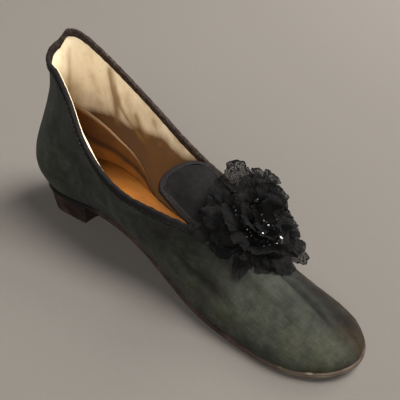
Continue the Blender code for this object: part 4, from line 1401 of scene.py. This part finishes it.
class SLIPPER_OT_sole(bpy.types.Operator):
    """Leather outsole with a trimmed, grooved edge, and the stacked heel under it."""

    bl_idname = "slipper.make_sole"
    bl_label = "Sole and heel"

    def execute(self, context):
        self.outsole()
        self.heel()
        return {"FINISHED"}

    def outsole(self):
        """A side swept round the outline, and two grids that close it below and above."""
        rings = []
        for inset, part in SOLE_EDGE:
            ring = closed_ring(foot_edge(inset - SOLE_MARGIN, SOLE_COLUMNS))
            rings.append(np.column_stack([ring, sole_under(ring[:, 0]) + SOLE_THICK * part]))
        side = np.stack(rings, axis=1)
        marks = np.zeros_like(side[..., :2])
        marks[..., 1] = bell(SOLE_EDGE[:, 1], *SOLE_GROOVE)
        parts = [(swung(side), grid_quads(*side.shape[:2], closed=True), marks)]
        across = np.linspace(-1.0, 1.0, 41)
        for (inset, part), under in ((SOLE_EDGE[0], 1.0), (SOLE_EDGE[-1], 0.0)):
            half = foot_edge(inset - SOLE_MARGIN, SOLE_COLUMNS)
            grid = rungs(half, across)
            grid[..., 2] = sole_under(half[:, :1]) + SOLE_THICK * part
            depth = half[:, 1:] * (1.0 - np.abs(across))
            ends = np.minimum(half[:, :1] - half[0, 0], half[-1, 0] - half[:, :1])
            channel = under * bell(np.minimum(depth, ends), *SOLE_CHANNEL)
            faces = grid_quads(*grid.shape[:2])
            marks = np.stack([np.full_like(channel, under), channel], axis=-1)
            parts.append((swung(grid), faces[:, ::-1] if under else faces, marks))
        points, quads, marks = joined(parts)
        quads = quads[np.all(np.diff(np.sort(quads, axis=1), axis=1) > 0, axis=1)]
        under, channel = marks.T
        ink = smooth(*SOLE_INK, points[:, 0]) * (1.0 - under)
        mend_normals(make_piece(
            "leather_outsole", points, quads, ["trimmed_sole"], None, {
                "under": under, "channel": channel, "ink": ink,
                "chip": patches(points, SOLE_CHIPS_AND_GLINTS)}, stands_for="outsole"))

    def heel_ring(self, part, count=40):
        """Outline of the heel from the floor (0) to the seat (1): two even lines blended."""
        seat = foot_edge(0.0, SOLE_COLUMNS)
        front = HEEL["breast"] + HEEL["rake"]
        corner = np.interp(front, seat[:, 0], seat[:, 1])
        seat = np.vstack([seat[seat[:, 0] < HEEL["breast"]], [front, corner]])
        angle = np.linspace(0.0, np.pi / 2.0, count)
        floor = np.column_stack([
            HEEL["back"] + HEEL["half"] * (1.0 - np.cos(angle)), HEEL["half"] * np.sin(angle)])
        floor = np.vstack([floor, [HEEL["breast"], HEEL["half"] * HEEL["narrow"]]])
        runs = (run_of(floor), run_of(seat))
        floor, seat = (
            at_runs(np.linspace(0.0, run[-1], count), run, line)
            for run, line in zip(runs, (floor, seat)))
        half = floor + (seat - floor) * part
        across = np.linspace(half[-1, 1], 0.0, 13)[1:]
        curve = HEEL["curve"] * (1.0 - (across / half[-1, 1]) ** 2)
        return closed_ring(np.vstack([half, np.column_stack([half[-1, 0] - curve, across])]))

    def heel(self):
        """Rings of the outline up the heel, drawn in at the lifts' joints and at the floor."""
        top = SOLE_LIFT[0, 1] - GAP
        part = np.linspace(0.0, 1.0, 49)
        groove = bell(part[:, None], HEEL_JOINTS, JOINT_WIDTH).max(axis=1)
        deep, up_to = HEEL_ROUND
        inset = JOINT_DEPTH * groove + deep * np.clip(1.0 - part / up_to, 0.0, 1.0) ** 2
        rings = []
        for level, inward in zip(part, inset):
            ring = self.heel_ring(level)
            middle = ring.mean(axis=0)
            away = np.linalg.norm(ring - middle, axis=1)[:, None]
            ring = middle + (ring - middle) * (1.0 - inward / away)
            rings.append(np.column_stack([ring, np.full(len(ring), top * level)]))
        side = np.stack(rings, axis=1)
        joint = np.broadcast_to(groove[:, None], (*side.shape[:2], 1))
        parts = [(side, grid_quads(*side.shape[:2], closed=True), joint)]
        shrink = np.linspace(1.0, 0.0, 12)[:, None]
        for ring, turn in ((side[:, 0], 1), (side[:, -1], -1)):
            middle = ring.mean(axis=0)
            disc = middle + (ring - middle)[:, None] * shrink
            faces = grid_quads(*disc.shape[:2], closed=True)[:, ::turn]
            parts.append((disc, faces, np.zeros_like(disc[..., :1])))
        points, quads, joint = joined(parts)
        # painted shade towards the heel's breast
        front = HEEL_BREAST_SHADE * smooth(*HEEL_SHADE_SPAN, points[:, 0])
        mend_normals(make_piece(
            "stacked_heel", points, quads, ["waxed_heel"], None,
            {"joint": joint, "front": front}, stands_for="heel"))


def tongue_sheet():
    """Upper face of the tongue: rows tucked under the vamp, then rows up to the rounded tip."""
    across = np.linspace(-1.0, 1.0, 61)
    rows = []
    for tuck in TONGUE_TUCK:
        strips = []
        for ahead in (0.0, 0.05):
            place = np.array([THROAT + tuck + ahead])
            right, left = (placed(cubic(crown_controls(place, s), FINE), s)[0] for s in SIDES)
            line = np.vstack([right, left[-2::-1]])
            run = run_of(line)
            strips.append(at_runs(run[len(FINE) - 1] + across * TONGUE[0, 1], run, line))
        normal = unit(np.cross(strips[1] - strips[0], np.gradient(strips[0], axis=0)))
        rows.append(strips[0] - normal * (WALL + GAP))
    for index, (x, half, middle, drop) in enumerate(TONGUE):
        corner = max(0.0, index - 1.0) / (len(TONGUE) - 2.0)
        row = np.column_stack([
            x + TONGUE_CORNER * np.abs(across) ** 5 * corner, half * across,
            middle - drop * across ** 2])
        row[:, 1] += eased(SWING, row[:, 0])
        rows.append(row)
    table = np.array(rows)
    place = np.linspace(0.0, len(table) - 1.0, 90)
    return between_rows(table, place, 2 * table[0] - table[1], 2 * table[-1] - table[-2])


class SLIPPER_OT_tongue(bpy.types.Operator):
    """Tongue of satin over linen, softly quilted by its own weight."""

    bl_idname = "slipper.make_tongue"
    bl_label = "Tongue"

    def execute(self, context):
        grid = tongue_sheet()
        free = smooth(*TONGUE_FREE, grid[..., 0])
        wave = swell(grid, *TONGUE_RIPPLE) * free
        grid = grid + grid_normals(grid, UP) * wave[..., None]
        points = grid.reshape(-1, 3)
        quads = facing(points, grid_quads(*grid.shape[:2]), UP)
        fields = {"fade": 0, "rub": 0, "dark": 0, "dust": 0.25, "soil": 0.35, "fold": 0}
        make_piece(
            "satin_tongue", points, quads, ["tongue_satin", "cream_linen"],
            points[:, :2], fields, TONGUE_THICK, "tongue")
        return {"FINISHED"}


def folded_ribbon(wall, deep_out, deep_in, skin, gap):
    """Closed profile of a ribbon folded over an edge, as (out, up): outer face, then inner.

    Each face is a leg up, half a flattened round and a leg down.
    """
    turn = np.linspace(0.0, np.pi, 9)
    fall = np.array([1.0, 0.75, 0.5, 0.25])
    half = wall / 2.0 + gap

    def fold(wide, high):
        """One face, as far out as wide and as high over the edge as high."""
        legs = np.full(4, wide)
        return np.vstack([
            np.column_stack([legs, -deep_out * fall]),
            np.column_stack([wide * np.cos(turn), high * np.sin(turn)]),
            np.column_stack([-legs, -deep_in * fall[::-1]])])

    outer, inner = fold(half + skin, 0.55 * half + skin), fold(half, 0.55 * half)
    return np.vstack([outer, inner[::-1]]) - (wall / 2.0, 0.0)


def stitches(path, out, along, length, thick):
    """Short threads on a path: six-sided rods bowed out, one every step, as joined arrays."""
    run = run_of(path)
    step = sizes().stitch_step
    middle = np.arange(step, run[-1] - step, step)
    centre, away, go = (at_runs(middle, run, table)[:, None, None] for table in (path, out, along))
    part = np.linspace(-1.0, 1.0, 7)
    turn = np.linspace(0.0, ROUND, 7)[:-1]
    fat = thick * np.sqrt(np.clip(1.0 - part ** 4, 0.02, 1.0))[:, None]
    bow = 0.25 * thick * (1.0 - part ** 2)[:, None]
    grid = (
        centre + go * (part * length / 2.0)[None, :, None, None]
        + away * (bow + fat * np.cos(turn))[None, ..., None]
        + np.cross(away, go) * (fat * np.sin(turn))[None, ..., None])
    grid = grid.transpose(0, 2, 1, 3)
    quads = grid_quads(len(turn), len(part), closed=True)
    return grid.reshape(-1, 3), copies(quads, len(centre), len(turn) * len(part))


class SLIPPER_OT_bindings(bpy.types.Operator):
    """Ribbon folded over the collar and round the tongue, with its running stitches."""

    bl_idname = "slipper.make_bindings"
    bl_label = "Bindings"

    def execute(self, context):
        self.collar()
        self.tongue_edge()
        return {"FINISHED"}

    def collar(self):
        """Folded ribbon carried along the rim in low waves, with stitches near its lower edge."""
        rim, out, up = (part[2:-2] for part in rim_frame(150, 60, -2, -4))
        along = unit(np.gradient(rim, axis=0))
        run = run_of(rim)
        depth = sizes().ribbon_depth
        wave = sum(
            high * np.sin(ROUND * run / long + start) for high, long, start in COLLAR_WAVES)
        profile = folded_ribbon(WALL, depth - COLLAR_SHORT, depth, *COLLAR_FOLD)
        points, quads, uv = swept(
            rim + up * wave[:, None], out, up, profile, run, run_of(profile))
        fields = {
            "worn": 0.35 * nearness(points, RIBBON_WORN, 0.9),
            "sunned": smooth(*RIBBON_SUNNED, points[:, 1]),
        }
        make_piece(
            "collar_ribbon", points, quads, ["binding_ribbon"], uv, fields,
            stands_for="collar_binding")
        above, away = COLLAR_SEAM
        low = rim - up * (depth - above) + out * away
        threads, faces = stitches(low, out, along, *COLLAR_THREAD)
        pale = 0.14 * nearness(threads, PALE_STITCHES, 6.0)
        pale *= 0.5 + 0.5 * np.sin(1.7 * threads[:, 0]) * np.sin(0.61 * threads[:, 0])
        make_piece(
            "collar_stitches", threads, faces, ["sewing_thread"], None, {"pale": pale})

    def tongue_edge(self):
        """Folded ribbon carried round the tongue's free edge, with stitches by its edge."""
        grid = tongue_sheet()
        normal = grid_normals(grid, UP)
        first = int(np.argmin(np.abs(grid[:, grid.shape[1] // 2, 0] - TONGUE_BOUND)))
        path, face = (
            np.concatenate([part[first:, 0], part[-1, 1:-1], part[first:, -1][::-1]])
            for part in (grid, normal))
        run = run_of(path)
        even = np.linspace(0.0, run[-1], 170)
        path, face = at_runs(even, run, path), unit(at_runs(even, run, face))
        along = unit(np.gradient(path, axis=0))
        up = np.cross(face, along)
        middle = grid[first:].reshape(-1, 3).mean(axis=0)
        up *= np.sign(np.sum(up * (path - middle), axis=1))[:, None]
        profile = folded_ribbon(*TONGUE_FOLD)
        points, quads, uv = swept(path, face, up, profile, even, run_of(profile))
        make_piece(
            "tongue_ribbon", points, quads, ["binding_ribbon"], uv,
            {"worn": 0, "sunned": 0.1})
        below, away = TONGUE_SEAM
        low = path - up * below + face * away
        threads, faces = stitches(low, face, along, *TONGUE_THREAD)
        make_piece(
            "tongue_stitches", threads, faces, ["sewing_thread"], None, {"pale": 0})


def rosette_frame():
    """Middle of the rosette on the vamp and its directions: along, across and up from it."""
    place = np.linspace(THROAT, THROAT + 4.0, 81)
    crown = np.concatenate([
        placed(cubic(crown_controls(place, s), shares_of(40)), s).reshape(-1, 3) for s in SIDES])

    def height(x, y):
        """Mean height of the six points of the crown nearest to a place."""
        near = np.argsort((crown[:, 0] - x) ** 2 + (crown[:, 1] - y) ** 2)[:6]
        return crown[near, 2].mean()

    ahead, behind = (height(ROSETTE_X + step, ROSETTE_Y) for step in (ROSETTE_STEP, -ROSETTE_STEP))
    fall = (ahead - behind) / (2.0 * ROSETTE_STEP)
    along = np.array([1.0, 0.0, fall]) / np.hypot(1.0, fall)
    across = np.array([0.0, 1.0, 0.0])
    middle = np.array([ROSETTE_X, ROSETTE_Y, height(ROSETTE_X, ROSETTE_Y)])
    return middle, np.stack([along, across, np.cross(along, across)])


def ruffle(tier, seed):
    """A gathered ring of net in the rosette's own directions, grid of (around, out).

    The ring is cut into uneven petals by |cos| of a phase that runs unevenly round it.  The
    radius runs from the root to the petal's reach, the height rises from root to tip, arches
    over each petal and droops at both sides, more at the near one, and fine pleats run outward.
    Last, waves in space push every point, more towards the edge.
    """
    reach, root, low, high, droop, petals, depth, over = tier
    reach = reach * sizes().ruffle_scale
    draw = np.random.default_rng(seed)
    around = np.linspace(0.0, ROUND, 721)[:-1][:, None]
    out = np.linspace(0.0, 1.0, 30)[None]
    phase = petals * around
    far = np.ones_like(around)
    for turns in (1, 2, 3, 5):
        a, b = draw.uniform(0.0, ROUND, 2)
        phase = phase + PETAL_SHIFT * petals * np.sin(turns * around + a)
        far = far + PETAL_STRETCH * np.sin(turns * around + b)
    arch = np.abs(np.cos(phase / 2.0))
    number = np.floor(phase / ROUND + 0.5).astype(int) % int(petals)
    lift, lean, curl, longer = draw.uniform(-1.0, 1.0, (4, int(petals)))[:, number]
    tip = arch ** 0.6 * (1.0 + 0.5 * longer * arch)
    length = reach * far * (0.80 + 0.18 * tip) + over * np.clip(-np.cos(around), 0.0, 1.0)
    for added, bearing, breadth in NET_REACH:
        length = length + added * reach / TIERS[0, 0] * bell(around, bearing, breadth)
    scallop = 0.4 * np.abs(np.sin(5.0 * phase)) * out ** 12
    radius = root + (length - root) * out + scallop
    angle = around + (0.5 + 0.45 * lean) / petals * out * np.sin(phase)
    side = np.sin(angle)
    height = low + (high - low) * out ** 1.3
    height = height + depth * out ** 0.8 * (arch ** 0.8 - 0.55) * (1.0 + 0.45 * lift * arch)
    height = height + 2.0 * lift * arch * out ** 2
    height = height - droop * (1.3 - 0.7 * side) * out ** 2 * side ** 2
    height = height - (1.8 + 1.6 * curl) * arch * np.clip(out - 0.65, 0.0, None) ** 2 / 0.09
    pleats = np.sin(7.0 * phase + 4.0 * out + 2.0 * np.sin(3.0 * around))
    height = height + 0.38 * pleats * out * (1.0 - 0.4 * out)
    added, bearing, breadth = NET_BEHIND
    height = height + added * bell(around, bearing, breadth) * out
    grid = np.stack([radius * np.cos(angle), radius * side, height], axis=-1)
    push = np.zeros_like(grid)
    for size, waves in NET_CRUMPLE:
        push += np.stack([swell(grid, size, waves, seed * 9 + k) for k in range(3)], axis=-1)
    push[..., 2] = np.maximum(push[..., 2], -0.6)
    return grid + push * (0.25 + 0.75 * out)[..., None], out


def square_of(points):
    """Numbers of the half-millimetre square of the vamp's plan that each point lies in."""
    cell = ((points[:, :2] - SQUARES_FROM) * 2.0).astype(int)
    return tuple(np.clip(cell, 0, np.array(SQUARES) - 1).T)


class SLIPPER_OT_rosette(bpy.types.Operator):
    """Tiers of gathered black net, one sheet each, sewn down at the middle of the vamp."""

    bl_idname = "slipper.make_rosette"
    bl_label = "Rosette"

    def execute(self, context):
        middle, basis = rosette_frame()
        vamp = vamp_grid(300, 120, 80)[0].reshape(-1, 3)
        ground = np.full(SQUARES, -np.inf)
        np.maximum.at(ground, square_of(vamp), vamp[:, 2])
        for index, tier in enumerate(TIERS):
            grid, out = ruffle(tier, sizes().seed + index)
            columns, rows = grid.shape[:2]
            points = (grid.reshape(-1, 3) @ basis) + middle
            clear = NET_CLEAR * (1.0 + index) + swell(points, *NET_RIPPLE, index)
            points[:, 2] = np.maximum(points[:, 2], ground[square_of(points)] + clear)
            quads = facing(points, grid_quads(columns, rows, closed=True), UP)
            rim = run_of(np.vstack([grid[:, -1], grid[:1, -1]]))[-1]
            width = np.linalg.norm(grid[:, -1] - grid[:, 0], axis=1).mean()
            fall = np.abs(2.0 * np.arange(columns)[:, None] / columns - 1.0) * rim / 2.0
            uv = np.stack(np.broadcast_arrays(fall, width * out), axis=-1).reshape(-1, 2)
            make_piece(
                f"net_tier_{index + 1}", points, quads, ["black_net"], uv,
                {"lace": np.broadcast_to(out, (columns, rows))},
                stands_for="rosette" if index == 0 else None)
        return {"FINISHED"}


def gem(rings, sides):
    """A faceted bead of radius 1: points and quads of a turned outline with flat ends."""
    lat = np.linspace(-0.5 * np.pi, 0.5 * np.pi, rings)[None]
    lon = np.linspace(0.0, ROUND, sides + 1)[:-1, None]
    flat = np.maximum(np.cos(lat), 0.12)
    grid = np.stack(np.broadcast_arrays(
        flat * np.cos(lon), flat * np.sin(lon), 0.86 * np.sin(lat)), axis=-1)
    quads = grid_quads(sides, rings, closed=True)
    return grid.reshape(-1, 3), np.vstack([quads, ring_caps(sides, rings, rings - 1)])


def turned(count, seed):
    """Seeded turns as matrices, from the columns of random squares made upright."""
    frames = np.linalg.qr(np.random.default_rng(seed).normal(size=(count, 3, 3)))[0]
    frames[:, :, 0] *= np.sign(np.linalg.det(frames))[:, None]
    return frames


class SLIPPER_OT_beads(bpy.types.Operator):
    """Strings of small jet beads over the rosette, and single faceted stones among them."""

    bl_idname = "slipper.make_beads"
    bl_label = "Beads"

    def execute(self, context):
        middle, basis = rosette_frame()
        centres = []
        for *ends, side, high, count in BEAD_STRINGS:
            start, end = np.array(ends[:3]), np.array(ends[3:])
            part = np.linspace(0.0, 1.0, int(count))[:, None]
            bow = np.sin(np.pi * part)
            aside = np.cross(UP, (end - start) / np.linalg.norm(end - start))
            line = start + (end - start) * part + aside * side * bow
            line[:, 2] += (high * bow)[:, 0] * 0.6
            centres.append(line @ basis + middle)
        centres = np.vstack(centres)
        draw = np.random.default_rng(sizes().seed)
        radii = sizes().bead_radius * draw.uniform(*BEAD_SIZES, len(centres))
        centres = centres + draw.normal(0.0, BEAD_STRAY, centres.shape)
        self.strewn("jet_beads", centres, radii, "dull_jet")
        self.strewn("jet_stones", STONES[:, :3], STONES[:, 3], "cut_jet")
        return {"FINISHED"}

    def strewn(self, name, centres, radii, look):
        """One faceted bead copied to every centre, each turned its own way."""
        one, faces = gem(6, 8)
        facing_ways = turned(len(centres), sizes().seed)
        points = np.einsum("pk,nkd->npd", one, facing_ways) * radii[:, None, None]
        points = points + centres[:, None]
        quads = copies(faces, len(centres), len(one))
        mend_normals(make_piece(name, points, quads, [look], facets=True))


class SLIPPER_OT_stage(bpy.types.Operator):
    """Plain pale floor, soft studio light and the camera."""

    bl_idname = "slipper.make_stage"
    bl_label = "Stage"

    def execute(self, context):
        scene = context.scene
        self.floor(scene)
        for name, toward, breadth, strength in LIGHTS:
            lamp = bpy.data.lights.new(name, "SUN")
            lamp.angle = np.radians(breadth)
            self.hang(lamp, strength * sizes().light_power, toward, (0.0, 0.0, 0.0))
        place, target, size, power = BACKGROUND_LAMP
        lamp = bpy.data.lights.new("background", "AREA")
        lamp.shape = "DISK"
        lamp.size = size
        self.hang(lamp, power, place, target)
        world = bpy.data.worlds.new("studio")
        world.use_nodes = True
        back = world.node_tree.nodes["Background"]
        back.inputs["Color"].default_value = STUDIO_COLOUR
        back.inputs["Strength"].default_value = sizes().studio_light
        scene.world = world
        scene.view_settings.view_transform = "Standard"
        lens = bpy.data.cameras.new("camera")
        lens.lens = CAMERA_LENS
        lens.sensor_width = 36.0
        lens.clip_start = 0.01
        camera = bpy.data.objects.new("camera", lens)
        camera.location = [float(v) * MM for v in np.array(CAMERA_PLACE) + SHIFT]
        camera.rotation_euler = Vector(CAMERA_VIEW).to_track_quat("-Z", "Y").to_euler()
        scene.collection.objects.link(camera)
        scene.camera = camera
        return {"FINISHED"}

    def floor(self, scene):
        """A wide square, level round the shoe and rising with the squared distance beyond."""
        side = np.linspace(-FLOOR_HALF, FLOOR_HALF, 61)
        x, y = np.meshgrid(side, side, indexing="ij")
        rise = FLOOR_RISE * np.clip(np.hypot(x, y) - FLOOR_LEVEL, 0.0, None) ** 2
        points = np.stack([x, y, rise], axis=-1).reshape(-1, 3)
        quads = facing(points, grid_quads(len(side), len(side)), UP)
        mesh = bpy.data.meshes.new("pale_floor")
        mesh.from_pydata((points * MM).tolist(), [], quads.tolist())
        mesh.polygons.foreach_set("use_smooth", np.ones(len(mesh.polygons), bool))
        mesh.materials.append(finish("pale_floor"))
        floor = bpy.data.objects.new("pale_floor", mesh)
        scene.collection.objects.link(floor)

    def hang(self, lamp, power, place, target):
        """Puts a lamp at a place, facing its target."""
        lamp.energy = power
        lamp.color = LIGHT_COLOUR
        made = bpy.data.objects.new(lamp.name, lamp)
        made.location = place
        made.rotation_euler = (Vector(target) - Vector(place)).to_track_quat("-Z", "Y").to_euler()
        bpy.context.scene.collection.objects.link(made)


PIECES = (
    SLIPPER_OT_stage, SLIPPER_OT_sole, SLIPPER_OT_insole, SLIPPER_OT_upper, SLIPPER_OT_lining,
    SLIPPER_OT_tongue, SLIPPER_OT_bindings, SLIPPER_OT_rosette, SLIPPER_OT_beads,
)


class SLIPPER_PT_panel(bpy.types.Panel):
    """Lists the slipper's colours, sizes and pieces."""

    bl_idname = "SLIPPER_PT_panel"
    bl_label = "Slipper"
    bl_space_type = "VIEW_3D"
    bl_region_type = "UI"
    bl_category = "Slipper"

    def draw(self, context):
        for group in (context.scene.slipper_sizes, context.scene.slipper_colours):
            for key in group.__annotations__:
                self.layout.prop(group, key)
        for piece in PIECES:
            self.layout.operator(piece.bl_idname)


CLASSES = (SlipperColours, SlipperSizes, *PIECES, SLIPPER_PT_panel)


def register():
    for made in CLASSES:
        bpy.utils.register_class(made)
    bpy.types.Scene.slipper_colours = PointerProperty(type=SlipperColours)
    bpy.types.Scene.slipper_sizes = PointerProperty(type=SlipperSizes)


def unregister():
    del bpy.types.Scene.slipper_sizes
    del bpy.types.Scene.slipper_colours
    for made in reversed(CLASSES):
        bpy.utils.unregister_class(made)


def main():
    register()
    for piece in PIECES:
        group, call = piece.bl_idname.split(".")
        if getattr(getattr(bpy.ops, group), call)() != {"FINISHED"}:
            raise RuntimeError(f"{piece.bl_label} was not made")


if __name__ == "__main__":
    main()
